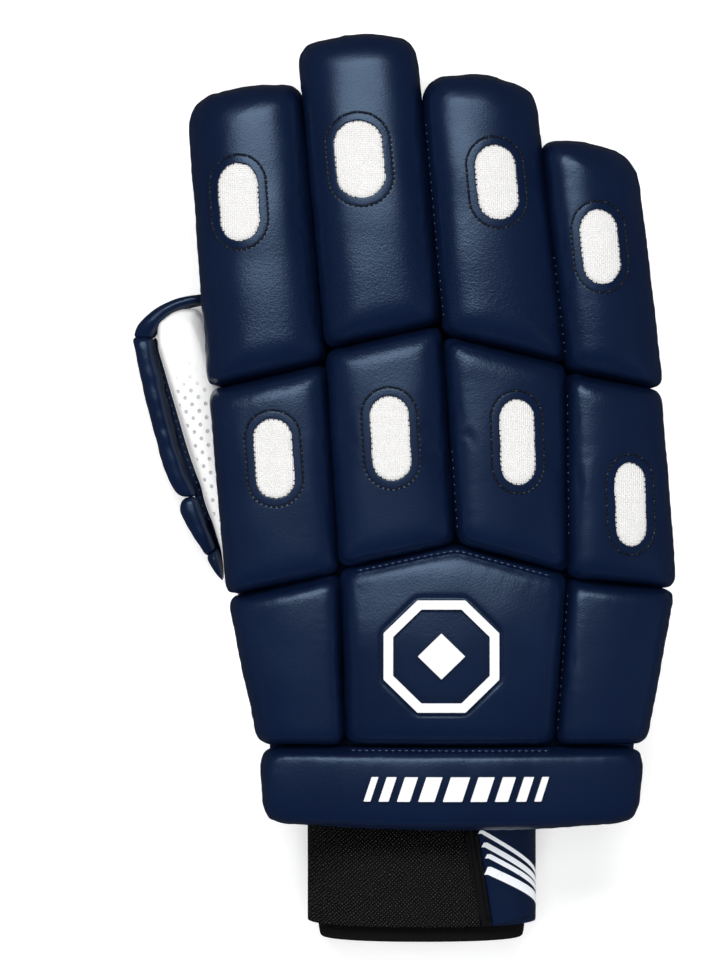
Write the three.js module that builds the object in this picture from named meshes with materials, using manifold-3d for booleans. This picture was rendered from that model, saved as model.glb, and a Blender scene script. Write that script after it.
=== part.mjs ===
// A cricket batting glove for the right hand, lying palm down as it rests on a table.
// Millimetres, +Z up. +Y runs from the wrist to the fingertips and +X towards the little finger.
// The back of the hand is one arched surface. Every pad, window, badge and bar is laid out flat in
// (across, along, height) and placed on that surface, so it follows when a size is changed.
import * as THREE from "three";
import { mergeVertices } from "three/addons/utils/BufferGeometryUtils.js";
import Module from "manifold-3d";

const wasm = await Module();
wasm.setup();

// Lengths along the hand
const cuffLength = 25;
const backLength = 52;
const knuckleLength = 72;
const fingerLength = 110;
const wristbandLength = 38;
const linerReach = 5.5;

// Widths across the hand
const padFieldWidth = 145;
const wristbandWidth = 77.6;
const wristbandOffset = -10.6;
const fingerWidth = 27;
const lean = 0.045;

// Heights above the table, measured on the arched surface under the pads
const wristHeight = 45;
const knuckleHeight = 34;
const fingertipHeight = 22;
const archRadius = 280;

// Stuffed pads
const rollThickness = 24;
const knucklePadThickness = 21;
const backPadThickness = 18;
const cuffPadThickness = 15;
const thumbPadThickness = 9;
const seamGap = 1.2;
const leanHeight = 10;
const padCorner = 3;
const cuffCorner = 6;
const cuffBow = 1.6;

// Leather, cloth and trim
const leather = 1.8;
const elasticThickness = 2.6;
const linerThickness = 3;
const linerRoll = 1;
const clearance = 0.3;
const restFlat = 1.5;
const lap = 3;

// Vent windows in the pads
const rollWindowWidth = 14.5;
const rollWindowLength = 25.5;
const knuckleWindowWidth = 13;
const knuckleWindowLength = 27.5;
const windowRing = 3;
const windowDepth = 2.6;
const meshSink = 0.7;

// Raised rubber trim
const badgeWidth = 36.5;
const badgeAcross = 0.457;
const badgeAlong = 0.57;
const badgeStroke = 3.3;
const badgeDiamond = 15;
const trimHeight = 1.2;
const barHeight = 8;
const barStep = 1;
const barGap = 2.6;
const barSlant = 2.6;

// Thumb
const thumbHeight = 23.5;
const thumbWidth = 18;
const thumbTipRadius = 9;
const thumbCorner = 6;
const thumbPadCorner = 3;

// Lines across the hand, as lengths from the cuff pad's lower edge
const backStart = cuffLength + seamGap;
const knuckleStart = backStart + backLength;
const fingerStart = knuckleStart + knuckleLength;
const tipLine = fingerStart + fingerLength;
const half = padFieldWidth / 2;
const columnWidth = padFieldWidth / 4;

// The edges between the columns of pads, as shares of half the pad field's width.
const edgeStations = [0, backStart, knuckleStart, fingerStart, tipLine];
const columnEdges = [
  { name: "thumb_side", at: [-0.876, -0.9, -1.05, -1.13, -1.245] },
  { name: "index_middle", at: [-0.5, -0.505, -0.525, -0.585, -0.72] },
  { name: "middle_ring", at: [0.0, 0.0, 0.015, -0.045, -0.172] },
  { name: "ring_little", at: [0.45, 0.455, 0.515, 0.51, 0.343] },
  { name: "outer_side", at: [0.83, 0.872, 1.01, 0.94, 0.775] },
];

// Each finger's column of pads. Seams are raised or lowered at their left and right ends, and tip
// corners rounded, by shares of a column's width. Tips are raised by shares of the finger length,
// and windows sit at shares of the pad's width and length.
const fingers = [
  {
    name: "index", knuckleSeam: [-0.09, 0.12], fingerSeam: [-0.18, 0.05],
    tip: [-0.16, -0.125], tipBulge: 0.006, tipCorner: [0.36, 0.2], stall: 0.80,
    rollWindow: [0.45, 0.6], knuckleWindow: [0.575, 0.603],
  },
  {
    name: "middle", knuckleSeam: [0.17, 0.39], fingerSeam: [0.17, 0.4],
    tip: [-0.002, 0.0155], tipBulge: 0.012, tipCorner: [0.22, 0.235], stall: 0.93,
    rollWindow: [0.455, 0.592], knuckleWindow: [0.518, 0.54],
  },
  {
    name: "ring", knuckleSeam: [0.39, 0.12], fingerSeam: [0.3, 0.04],
    tip: [-0.099, -0.135], tipBulge: 0.0126, tipCorner: [0.33, 0.22], stall: 0.83,
    rollWindow: [0.545, 0.607], knuckleWindow: [0.527, 0.56],
  },
  {
    name: "little", knuckleSeam: [0.08, -0.03], fingerSeam: [-0.03, -0.19],
    tip: [-0.299, -0.331], tipBulge: 0.006, tipCorner: [0.19, 0.33], stall: 0.63,
    rollWindow: [0.46, 0.572], knuckleWindow: [0.545, 0.4],
  },
];
const backSeamPeak = 0.38;

// Half widths of the palm leather to the left and right, as shares of half the pad field's width.
const palmSections = [
  { along: 0.0, left: 0.0, right: 0.0 },
  { along: 0.15, left: 0.12, right: 0.35 },
  { along: 0.32, left: 0.42, right: 0.76 },
  { along: 0.5, left: 0.6, right: 0.96 },
  { along: 0.7, left: 0.74, right: 1.0 },
  { along: 0.87, left: 0.84, right: 0.98 },
  { along: 1.0, left: 0.88, right: 0.96 },
];

// How square the sleeves' sections are: 2 is an ellipse
const bandSquareness = 2.3;
const stallSquareness = 2.8;
const palmSquareness = 3.2;
const linerSides = 24;

// A finger stall from its root to its tip: width and fullness as shares.
const stallSections = [
  { along: 0.0, flare: 1, width: 1, full: 1 },
  { along: 0.1, flare: 0.25, width: 1, full: 1 },
  { along: 0.24, flare: 0, width: 1, full: 1 },
  { along: 0.55, flare: 0, width: 0.97, full: 1 },
  { along: 0.82, flare: 0, width: 0.92, full: 1 },
  { along: 0.94, flare: 0, width: 0.74, full: 0.86 },
  { along: 1.0, flare: 0, width: 0.42, full: 0.5 },
];

// The rings of a stuffed pad from the spine of its underside to its crown: how far each ring
// stands in from the outline towards the pad's spine, and how high it lies, as shares.
const padRings = [
  { inward: 1, up: 0.06 },
  { inward: 0.1, up: 0 },
  { inward: 0, up: 0.3 },
  { inward: 0.02, up: 0.58 },
  { inward: 0.12, up: 0.82 },
  { inward: 0.33, up: 0.96 },
  { inward: 0.65, up: 1 },
  { inward: 1, up: 1 },
];

const materials = {
  navy_leather: new THREE.MeshStandardMaterial({ color: "#18264a", roughness: 0.5 }),
  white_leather: new THREE.MeshStandardMaterial({ color: "#f1f2f2", roughness: 0.6 }),
  white_mesh: new THREE.MeshStandardMaterial({ color: "#f4f3f0", roughness: 0.9 }),
  black_elastic: new THREE.MeshStandardMaterial({ color: "#0e0e10", roughness: 0.95 }),
  black_towelling: new THREE.MeshStandardMaterial({ color: "#101012", roughness: 1 }),
  black_binding: new THREE.MeshStandardMaterial({ color: "#15161a", roughness: 0.6 }),
  white_rubber: new THREE.MeshStandardMaterial({ color: "#eef1f6", roughness: 0.45 }),
};

const glove = new THREE.Group();

// Adds one named piece to the glove.
function addPiece(name, geometry, material) {
  const mesh = new THREE.Mesh(geometry, materials[material]);
  mesh.name = name;
  glove.add(mesh);
}

// A value read between the rows of a table by its position.
function between(positions, values, at) {
  const last = positions.length - 2;
  let i = 0;
  while (i < last && at > positions[i + 1]) i++;
  const share = (at - positions[i]) / (positions[i + 1] - positions[i]);
  return values[i] + (values[i + 1] - values[i]) * share;
}

const mix = (a, b, share) => a + (b - a) * share;
const edgeAt = (i, along) => half * between(edgeStations, columnEdges[i].at, along);

// The arched surface under the pads.
const archCentre = (along) => -lean * along;

function spineHeight(along) {
  const toKnuckle = (along * (along - tipLine)) / (fingerStart * (fingerStart - tipLine));
  const toTip = (along * (along - fingerStart)) / (tipLine * (tipLine - fingerStart));
  const toWrist = ((along - fingerStart) * (along - tipLine)) / (fingerStart * tipLine);
  return wristHeight * toWrist + knuckleHeight * toKnuckle + fingertipHeight * toTip;
}

const backHeight = (x, y) => spineHeight(y) - (x - archCentre(y)) ** 2 / (2 * archRadius);

// Places a point of the flat layout on the back of the hand. The layout is what shows from above
// at leanHeight, and outer columns lean outwards with the arch.
function onBack(across, along, height) {
  const slope = (across - archCentre(along)) / archRadius;
  const sine = slope / Math.hypot(1, slope);
  const foot = across - leanHeight * sine;
  const cosine = 1 / Math.hypot(1, slope);
  return new THREE.Vector3(foot + height * sine, along, backHeight(foot, along) + height * cosine);
}

// A geometry from vertices and triangles, turned to face outwards.
function solidGeometry(points, triangles) {
  let sixVolumes = 0;
  for (const [a, b, c] of triangles)
    sixVolumes += points[a].dot(new THREE.Vector3().crossVectors(points[b], points[c]));
  const outward = sixVolumes > 0 ? triangles : triangles.map(([a, b, c]) => [a, c, b]);
  const geometry = new THREE.BufferGeometry().setFromPoints(points);
  return geometry.setIndex(outward.flat());
}

// Triangles over a simple polygon, turned anticlockwise.
function capTriangles(polygon) {
  const area = (a, b, c) => (b.x - a.x) * (c.y - a.y) - (b.y - a.y) * (c.x - a.x);
  return THREE.ShapeUtils.triangulateShape(polygon, []).map(([a, b, c]) =>
    area(polygon[a], polygon[b], polygon[c]) > 0 ? [a, b, c] : [a, c, b],
  );
}

// A closed solid through rings of equal count, capped at both ends. flat gives the ring's own plane.
function loft(rings, flat) {
  const count = rings[0].length;
  const triangles = [];
  for (let j = 0; j + 1 < rings.length; j++)
    for (let k = 0; k < count; k++) {
      const [a, b] = [j * count + k, j * count + ((k + 1) % count)];
      triangles.push([a, b, b + count], [a, b + count, a + count]);
    }
  const top = (rings.length - 1) * count;
  const turn = THREE.ShapeUtils.area(rings[0].map(flat)) > 0;
  const end = (ring) => capTriangles(ring.map(flat)).map((t) => (turn ? t : t.toReversed()));
  for (const [a, b, c] of end(rings[0])) triangles.push([a, c, b]);
  for (const [a, b, c] of end(rings.at(-1))) triangles.push([top + a, top + b, top + c]);
  return solidGeometry(rings.flat(), triangles);
}

// A wall between outer and inner rings, open at its first end and, if closed is set, shut at its last.
function hollowWall(outer, inner, closed) {
  const count = outer[0].length;
  const points = [...outer.flat(), ...inner.flat()];
  const offset = outer.length * count;
  const triangles = [];
  const quad = (a, b, c, d) => triangles.push([a, b, c], [a, c, d]);
  for (let k = 0; k < count; k++) {
    const n = (k + 1) % count;
    for (let j = 0; j + 1 < outer.length; j++) {
      const [low, high] = [j * count, (j + 1) * count];
      quad(low + k, low + n, high + n, high + k);
      quad(offset + low + n, offset + low + k, offset + high + k, offset + high + n);
    }
    quad(offset + k, offset + n, n, k);
    const end = (outer.length - 1) * count;
    if (!closed) quad(end + k, end + n, offset + end + n, offset + end + k);
  }
  if (closed)
    for (const [shift, flip] of [[0, false], [offset, true]]) {
      const end = shift + (outer.length - 1) * count;
      for (let k = 1; k + 1 < count; k++)
        triangles.push(flip ? [end, end + k + 1, end + k] : [end, end + k, end + k + 1]);
    }
  return solidGeometry(points, triangles);
}

// Booleans
function toManifold(geometry) {
  const bare = new THREE.BufferGeometry().setAttribute("position", geometry.getAttribute("position"));
  const merged = mergeVertices(bare.setIndex(geometry.getIndex()), 1e-4);
  return new wasm.Manifold(new wasm.Mesh({
    numProp: 3,
    vertProperties: merged.attributes.position.array,
    triVerts: new Uint32Array(merged.index.array),
  }));
}

function subtract(geometry, ...cutters) {
  let solid = toManifold(geometry);
  for (const cutter of cutters) solid = solid.subtract(toManifold(cutter));
  const mesh = solid.getMesh();
  const cut = new THREE.BufferGeometry();
  cut.setAttribute("position", new THREE.BufferAttribute(new Float32Array(mesh.vertProperties), 3));
  return cut.setIndex(new THREE.BufferAttribute(new Uint32Array(mesh.triVerts), 1));
}

// A closed outline through corners { x, y, r }, given anticlockwise. Corners are rounded with
// cornerSteps segments, and the side that follows each corner has steps segments and may bulge.
function roundedOutline(corners, cornerSteps = 2) {
  const points = [];
  const at = (i) => corners[(i + corners.length) % corners.length];
  const towards = (from, to, distance) => {
    const length = Math.hypot(to.x - from.x, to.y - from.y);
    const share = Math.min(distance / length, 0.45);
    return new THREE.Vector2(mix(from.x, to.x, share), mix(from.y, to.y, share));
  };
  corners.forEach((corner, i) => {
    const from = towards(corner, at(i - 1), corner.r);
    const to = towards(corner, at(i + 1), corner.r);
    const bend = new THREE.QuadraticBezierCurve(from, new THREE.Vector2(corner.x, corner.y), to);
    points.push(...bend.getPoints(corner.turns ?? cornerSteps));
    const next = towards(at(i + 1), corner, at(i + 1).r);
    const out = new THREE.Vector2(next.y - to.y, to.x - next.x).normalize();
    const steps = corner.steps ?? 3;
    for (let k = 1; k < steps; k++) {
      const bulge = (corner.bulge ?? 0) * Math.sin((Math.PI * k) / steps);
      points.push(to.clone().lerp(next, k / steps).addScaledVector(out, bulge));
    }
  });
  return points;
}

// How far along a spine of two ends a point lies, as a share.
function spineShare(spine, point) {
  const run = spine[1].clone().sub(spine[0]);
  const share = point.clone().sub(spine[0]).dot(run) / run.lengthSq();
  return THREE.MathUtils.clamp(share, 0, 1);
}

const onSpine = (spine, point) => spine[0].clone().lerp(spine[1], spineShare(spine, point));

// A stuffed pad over an outline: rings that close in on the pad's spine, placed by place(). The
// first and last rings are the spine itself, as a line of pieces + 1 points.
function stuffedPad(outline, spine, place, pieces = 1, rings = padRings) {
  const count = outline.length;
  const points = rings.slice(1, -1).flatMap(({ inward, up }) => outline.map((p) => {
    const flat = p.clone().lerp(onSpine(spine, p), inward);
    return place(flat.x, flat.y, up);
  }));
  const feet = outline.map((p) => Math.round(spineShare(spine, p) * pieces));
  const indices = rings.slice(1, -1).map((_, j) => outline.map((_, k) => j * count + k));
  for (const [end, ring] of [[0, rings[0]], [1, rings.at(-1)]]) {
    const start = points.length;
    for (let k = 0; k <= pieces; k++) {
      const flat = spine[0].clone().lerp(spine[1], k / pieces);
      points.push(place(flat.x, flat.y, ring.up));
    }
    const line = feet.map((foot) => start + foot);
    if (end) indices.push(line);
    else indices.unshift(line);
  }
  const triangles = [];
  for (let j = 0; j + 1 < indices.length; j++)
    for (let k = 0; k < count; k++) {
      const next = (k + 1) % count;
      const [a, b, c, d] = [indices[j][k], indices[j][next], indices[j + 1][next], indices[j + 1][k]];
      triangles.push([a, b, c], [a, c, d]);
    }
  return solidGeometry(points, triangles.filter(([a, b, c]) => a !== b && b !== c && c !== a));
}

// A plate of even thickness over an outline, from one height to another.
function plate(outline, place, low, high) {
  const placed = [low, high].map((height) => outline.map((p) => place(p.x, p.y, height)));
  const plan = new Map(placed.flat().map((p, k) => [p, outline[k % outline.length]]));
  return loft(placed, (p) => plan.get(p));
}

// A flat band between two outlines of equal count.
function band(outer, inner, place, low, high) {
  const rings = (outline) => [low, high].map((h) => outline.map((p) => place(p.x, p.y, h)));
  return hollowWall(rings(outer), rings(inner), false);
}

// A pad over a block with left and right column edges and the lengths of its corners
function blockCorners(leftEdge, rightEdge, low, high, radius) {
  const gap = seamGap / 2;
  const corner = (edge, side, along, rise) => ({
    x: edgeAt(edge, along) - side * gap,
    y: along + rise * gap,
    r: radius,
  });
  return [
    corner(leftEdge, -1, low[0], 1),
    corner(rightEdge, 1, low[1], 1),
    corner(rightEdge, 1, high[1], -1),
    corner(leftEdge, -1, high[0], -1),
  ];
}

// The spine of a pad: a line along it, held away from its ends.
function lengthwiseSpine(corners, endRun) {
  const middle = (a, b) => new THREE.Vector2((a.x + b.x) / 2, (a.y + b.y) / 2);
  const low = middle(corners[0], corners[1]);
  const high = middle(corners[2], corners[3]);
  const share = endRun / low.distanceTo(high);
  return [low.clone().lerp(high, share), high.clone().lerp(low, share)];
}

function crosswiseSpine(corners, endRun) {
  const [a, b, c, d] = corners;
  return lengthwiseSpine([a, d, c, b], endRun);
}

const padPlace = (thickness) => (x, y, up) => onBack(x, y, clearance + up * thickness);

// A window: an oval pocket in a pad, a leather ring around it and mesh cloth inside the ring.
function ovalOutline(centre, direction, width, length, grow) {
  const points = [];
  const radius = width / 2 + grow;
  const straight = length / 2 - width / 2;
  const ends = 14;
  for (let k = 0; k < ends; k++) {
    const turn = (2 * Math.PI * (k + 0.5)) / ends;
    const side = Math.sin(turn) > 0 ? 1 : -1;
    const x = radius * Math.cos(turn);
    const y = radius * Math.sin(turn) + side * straight;
    points.push(new THREE.Vector2(
      centre.x + x * direction.y + y * direction.x,
      centre.y - x * direction.x + y * direction.y,
    ));
  }
  return points;
}

function addWindowedPad(name, corners, outline, thickness, width, length, at) {
  const [low, high] = [0, 1].map((end) => {
    const [a, b] = end ? [corners[3], corners[2]] : [corners[0], corners[1]];
    return new THREE.Vector2(mix(a.x, b.x, at[0]), mix(a.y, b.y, at[0]));
  });
  const centre = low.clone().lerp(high, at[1]);
  const direction = high.clone().sub(low).normalize();
  const oval = (grow) => ovalOutline(centre, direction, width, length, grow);
  const surface = clearance + thickness;
  const floor = surface - windowDepth;
  const pocket = plate(oval(windowRing), onBack, floor, surface + windowDepth);
  const spine = lengthwiseSpine(corners, columnWidth * 0.5);
  const pad = stuffedPad(outline, spine, padPlace(thickness));
  addPiece(name, subtract(pad, pocket), "navy_leather");
  const ring = band(oval(windowRing - clearance), oval(0), onBack, floor + clearance, surface);
  addPiece(name + "_window_ring", ring, "navy_leather");
  const cloth = plate(oval(-clearance), onBack, floor + clearance, surface - meshSink);
  addPiece(name + "_window_mesh", cloth, "white_mesh");
}

// Finger rolls and knuckle pads, one column for each finger
function addFingerPads(finger, i) {
  const raise = (line, lifts) => lifts.map((lift) => line + lift * columnWidth);
  const knuckleLow = raise(knuckleStart, finger.knuckleSeam);
  const fingerLow = raise(fingerStart, finger.fingerSeam);
  const tips = finger.tip.map((share) => tipLine + share * fingerLength);
  const roll = blockCorners(i, i + 1, fingerLow, tips, padCorner);
  roll[0].steps = 4;
  roll[1].steps = 5;
  for (const [corner, side] of [[3, 0], [2, 1]]) {
    roll[corner].r = finger.tipCorner[side] * columnWidth;
    roll[corner].turns = 4;
  }
  roll[2].bulge = finger.tipBulge * fingerLength;
  roll[3].steps = 5;
  addWindowedPad("roll_" + finger.name, roll, roundedOutline(roll), rollThickness,
    rollWindowWidth, rollWindowLength, finger.rollWindow);
  const block = blockCorners(i, i + 1, knuckleLow, fingerLow, padCorner);
  addWindowedPad("knuckle_pad_" + finger.name, block, roundedOutline(block), knucklePadThickness,
    knuckleWindowWidth, knuckleWindowLength, finger.knuckleWindow);
}

// The row of pads over the back of the hand, and the cuff pad below it
function addBackPads() {
  const raise = (lift) => knuckleStart + lift * columnWidth;
  const place = padPlace(backPadThickness);
  const low = [backStart, backStart];
  for (const [finger, name] of [[fingers[0], "index"], [fingers[3], "little"]]) {
    const left = name === "index" ? 0 : 3;
    const corners = blockCorners(left, left + 1, low, finger.knuckleSeam.map(raise), padCorner);
    const spine = lengthwiseSpine(corners, columnWidth * 0.5);
    addPiece("back_pad_" + name, stuffedPad(roundedOutline(corners), spine, place), "navy_leather");
  }
  const sides = [fingers[1].knuckleSeam[0], fingers[2].knuckleSeam[1]].map(raise);
  const corners = blockCorners(1, 3, low, sides, padCorner);
  const peak = { x: edgeAt(2, raise(backSeamPeak)), y: raise(backSeamPeak), r: padCorner };
  const outline = roundedOutline([...corners.slice(0, 3), peak, corners[3]]);
  const spine = crosswiseSpine(corners, columnWidth * 0.75);
  addPiece("back_pad_centre", stuffedPad(outline, spine, place), "navy_leather");
}

function addCuff() {
  const top = cuffLength + seamGap / 2;
  const corners = blockCorners(0, 4, [0, 0], [top, top], cuffCorner);
  corners[0].steps = 9;
  corners[0].bulge = cuffBow;
  corners[1].steps = 2;
  corners[2].steps = 9;
  corners[3].steps = 2;
  const spine = crosswiseSpine(corners, cuffLength * 0.6);
  const pad = stuffedPad(roundedOutline(corners), spine, padPlace(cuffPadThickness), 7);
  addPiece("cuff_pad", pad, "navy_leather");
}

// Raised rubber trim in place of printing: an octagon with a diamond on the back of the hand,
// and a row of slanted bars on the cuff.
function ringOutline(sides, radius, centre, turn) {
  return Array.from({ length: sides }, (_, k) => {
    const angle = turn + (2 * Math.PI * k) / sides;
    return new THREE.Vector2(centre.x + radius * Math.cos(angle), centre.y + radius * Math.sin(angle));
  });
}

function addBadge() {
  const centre = new THREE.Vector2(
    mix(edgeAt(1, backStart), edgeAt(3, backStart), badgeAcross),
    backStart + backLength * badgeAlong,
  );
  const low = clearance + backPadThickness * padRings.at(-1).up + clearance;
  const outer = badgeWidth / 2 / Math.cos(Math.PI / 8);
  const eighth = Math.PI / 8;
  const frame = [outer, outer - badgeStroke].map((r) => ringOutline(8, r, centre, eighth));
  addPiece("badge_frame", band(frame[0], frame[1], onBack, low, low + trimHeight), "white_rubber");
  const diamond = ringOutline(4, badgeDiamond / 2, centre, 0);
  addPiece("badge_diamond", plate(diamond, onBack, low, low + trimHeight), "white_rubber");
}

const widestBar = 6.2;
const barSteps = [4, 3, 2, 1, 0, 1, 2, 3, 4];
const barWidths = barSteps.map((steps) => widestBar - steps * barStep);

function addCuffBars() {
  const total = barWidths.reduce((sum, width) => sum + width + barGap, -barGap);
  const low = clearance + cuffPadThickness * padRings.at(-1).up + clearance;
  const middle = cuffLength / 2;
  let left = -total / 2;
  barWidths.forEach((width, k) => {
    const corner = (x, side) => new THREE.Vector2(x + side * barSlant / 2, middle + side * barHeight / 2);
    const outline = [
      corner(left, -1), corner(left + width, -1), corner(left + width, 1), corner(left, 1),
    ];
    addPiece("cuff_bar_" + (k + 1), plate(outline, onBack, low, low + trimHeight), "white_rubber");
    left += width + barGap;
  });
}

// A point on a section of a sleeve of leather that rests on the table: a rounded oblong between
// the table and a roof, flattened where it rests. inset moves it inwards through the wall.
function sleevePoint(left, right, along, roof, inset, angle, squareness) {
  const power = (value) => Math.sign(value) * Math.abs(value) ** (2 / squareness);
  const x = (left + right) / 2 + ((right - left) / 2 - inset) * power(Math.cos(angle));
  const top = roof(x, along) - inset;
  const rise = (power(Math.sin(angle)) + 1) / 2;
  const z = inset - restFlat + (top - inset + restFlat) * rise;
  return new THREE.Vector3(x, along, Math.max(inset, z));
}

// Finger stalls: closed at the tip and open to the hand
const stallStart = fingerStart + lap;
const palmEnd = stallStart - clearance;

function stallRings(finger, i, inset) {
  const steps = 14;
  const tip = stallStart + (tipLine - stallStart) * finger.stall;
  return stallSections.map(({ along, flare, width, full }) => {
    const y = mix(stallStart, tip - inset, along);
    const [left, right] = [edgeAt(i, y), edgeAt(i + 1, y)];
    const middle = (left + right) / 2;
    const roots = [
      i === 0 ? palmSide(palmEnd).left : left + seamGap / 2,
      i === 3 ? palmSide(palmEnd).right : right - seamGap / 2,
    ];
    const sides = [-1, 1].map((side, k) =>
      mix(middle + (side * width * fingerWidth) / 2, roots[k], flare),
    );
    return Array.from({ length: steps }, (_, k) => {
      const angle = (2 * Math.PI * k) / steps;
      const point = sleevePoint(sides[0], sides[1], y, backHeight, inset, angle, stallSquareness);
      const level = backHeight(middle, y) * 0.42;
      point.z = mix(level, point.z, full);
      return point;
    });
  });
}

function addStall(finger, i) {
  const wall = hollowWall(stallRings(finger, i, 0), stallRings(finger, i, leather), true);
  addPiece("finger_stall_" + finger.name, wall, "white_leather");
}

// The palm: one sheet of leather that runs under the hand and up both sides
const palmStart = lap + clearance;
const wristLeft = wristbandOffset - wristbandWidth / 2;
const wristRight = wristbandOffset + wristbandWidth / 2;

function palmSide(along) {
  const share = (along - palmStart) / (palmEnd - palmStart);
  const at = (key) => between(palmSections.map((s) => s.along), palmSections.map((s) => s[key]), share);
  return { left: mix(wristLeft, -half, at("left")), right: mix(wristRight, half * 0.93, at("right")) };
}

const palmRoof = (x, y) => backHeight(x, y) - leather - clearance;

function palmLine(along, inset, from, to, steps) {
  const { left, right } = palmSide(along);
  return Array.from({ length: steps + 1 }, (_, k) => {
    const angle = THREE.MathUtils.degToRad(mix(from, to, k / steps));
    return sleevePoint(left, right, along, palmRoof, inset, angle, palmSquareness);
  });
}

const flatSection = (p) => new THREE.Vector2(p.x, p.z);
const palmTurn = [112, 428];
const palmSteps = 15;

function palmGeometry() {
  const stations = palmSections.map((s) => mix(palmStart, palmEnd, s.along));
  const rings = stations.map((y) => [
    ...palmLine(y, 0, ...palmTurn, palmSteps),
    ...palmLine(y, leather, ...palmTurn, palmSteps).toReversed(),
  ]);
  return loft(rings, flatSection);
}

// The whole space that the palm takes up, a clearance larger, to trim what meets it.
function palmSpace() {
  const stations = palmSections.map((s) => mix(palmStart, palmEnd, s.along));
  return loft(stations.map((y) => palmLine(y, -clearance, ...palmTurn, palmSteps)), flatSection);
}

// The backing sheet that carries the pads on the back of the hand
function addBacking() {
  const stations = [1, backStart / 2, backStart, backStart + backLength / 2, knuckleStart,
    knuckleStart + knuckleLength / 3, knuckleStart + (2 * knuckleLength) / 3, palmEnd];
  const rings = stations.map((y) => {
    const [left, right] = [edgeAt(0, y) + lap, edgeAt(4, y) - lap];
    const line = (drop) => Array.from({ length: 13 }, (_, k) => {
      const x = mix(left, right, k / 12);
      return new THREE.Vector3(x, y, backHeight(x, y) - drop);
    });
    return [...line(0), ...line(leather).toReversed()];
  });
  addPiece("back_panel", loft(rings, flatSection), "navy_leather");
}

// The thumb stall, seen from above as a blunt finger that leaves the palm towards its tip
const thumbTip = { x: -half * 1.42, y: fingerStart + fingerLength * 0.163 };
const thumbRoot = { x: -half * 0.895, y: backStart + backLength * 0.35 };
const thumbRun = Math.hypot(thumbTip.x - thumbRoot.x, thumbTip.y - thumbRoot.y);
const thumbAim = { x: (thumbTip.x - thumbRoot.x) / thumbRun, y: (thumbTip.y - thumbRoot.y) / thumbRun };
const thumbCurve = 3.2;

// A point of the thumb from its run along the outer edge and its distance in from that edge.
const thumbPoint = (run, inwards) => ({
  x: thumbRoot.x + thumbAim.x * run + thumbAim.y * inwards,
  y: thumbRoot.y + thumbAim.y * run - thumbAim.x * inwards,
});

const thumbCorners = [
  { ...thumbPoint(0, 0), r: thumbCorner, steps: 2 },
  { ...thumbPoint(0, thumbWidth * 1.3), r: thumbCorner, steps: 5 },
  { ...thumbPoint(thumbRun, thumbWidth), r: thumbCorner, steps: 2 },
  { ...thumbPoint(thumbRun, 0), r: thumbTipRadius, steps: 5 },
];
const thumbSpine = [
  thumbPoint(thumbWidth * 0.6, thumbWidth * 0.6),
  thumbPoint(thumbRun - thumbWidth / 2, thumbWidth / 2),
].map((p) => new THREE.Vector2(p.x, p.y));

// How far the thumb's side stands in from its widest line, as a share, at a share of half its height.
const thumbInward = (level) => 1 - (1 - Math.abs(level) ** thumbCurve) ** (1 / thumbCurve);

function thumbSolid(inset) {
  const levels = [-0.97, -0.72, -0.38, 0, 0.38, 0.72, 0.97];
  const outline = roundedOutline(thumbCorners).map((p) => {
    const inner = onSpine(thumbSpine, p);
    return p.clone().lerp(inner, inset / p.distanceTo(inner));
  });
  const rings = levels.map((level) => ({ inward: thumbInward(level), up: level / levels.at(-1) }));
  rings.unshift({ inward: 1, up: -1 });
  rings.push({ inward: 1, up: 1 });
  const place = (x, y, up) => new THREE.Vector3(x, y, thumbHeight / 2 + up * (thumbHeight / 2 - inset));
  return stuffedPad(outline, thumbSpine, place, 1, rings);
}

// The outer edge of the thumb as a path: up its side, round its corner and across its tip.
const acrossTip = Math.atan2(
  thumbCorners[2].y - thumbCorners[3].y, thumbCorners[2].x - thumbCorners[3].x,
);
const upSide = Math.atan2(thumbAim.y, thumbAim.x);
const cornerTurn = upSide - acrossTip;
const cornerCut = thumbTipRadius * 0.8;
const bendRadius = cornerCut / Math.tan(cornerTurn / 2);
const sideRun = thumbRun - cornerCut;
const cornerRun = bendRadius * cornerTurn;

function thumbEdge(run) {
  const heading = upSide - THREE.MathUtils.clamp((run - sideRun) / bendRadius, 0, cornerTurn);
  const start = thumbPoint(Math.min(run, sideRun), 0);
  const turned = { x: start.x, y: start.y };
  if (run > sideRun) {
    turned.x += bendRadius * (Math.sin(upSide) - Math.sin(heading));
    turned.y += bendRadius * (Math.cos(heading) - Math.cos(upSide));
    const past = Math.max(0, run - sideRun - cornerRun);
    turned.x += past * Math.cos(heading);
    turned.y += past * Math.sin(heading);
  }
  return { ...turned, outX: -Math.sin(heading), outY: Math.cos(heading) };
}

// Places a point of a thumb pad: run along the edge, rise above mid height, and height off it.
function onThumb(run, rise, height) {
  const edge = thumbEdge(run);
  const level = rise / (thumbHeight / 2);
  const inward = (thumbInward(level) * thumbWidth) / 2;
  const slopeOut = (1 - thumbInward(level)) ** (thumbCurve - 1) / thumbWidth;
  const slopeUp = (Math.sign(level) * Math.abs(level) ** (thumbCurve - 1)) / thumbHeight;
  const length = Math.hypot(slopeOut, slopeUp);
  const out = (height * slopeOut) / length - inward;
  return new THREE.Vector3(
    edge.x + edge.outX * out,
    edge.y + edge.outY * out,
    thumbHeight / 2 + rise + (height * slopeUp) / length,
  );
}

// Thumb pads along the edge as shares of the run to the tip's corner, with their thickness at
// their lower and upper ends as shares of the pad thickness.
const thumbPads = [
  { name: "thumb_pad_base", from: 0.275, to: 0.365, thick: [0.2, 0.65] },
  { name: "thumb_pad_lower", from: 0.375, to: 0.54, thick: [0.7, 1] },
  { name: "thumb_pad_upper", from: 0.55, to: 0.985, thick: [1.05, 0.9] },
];

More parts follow.
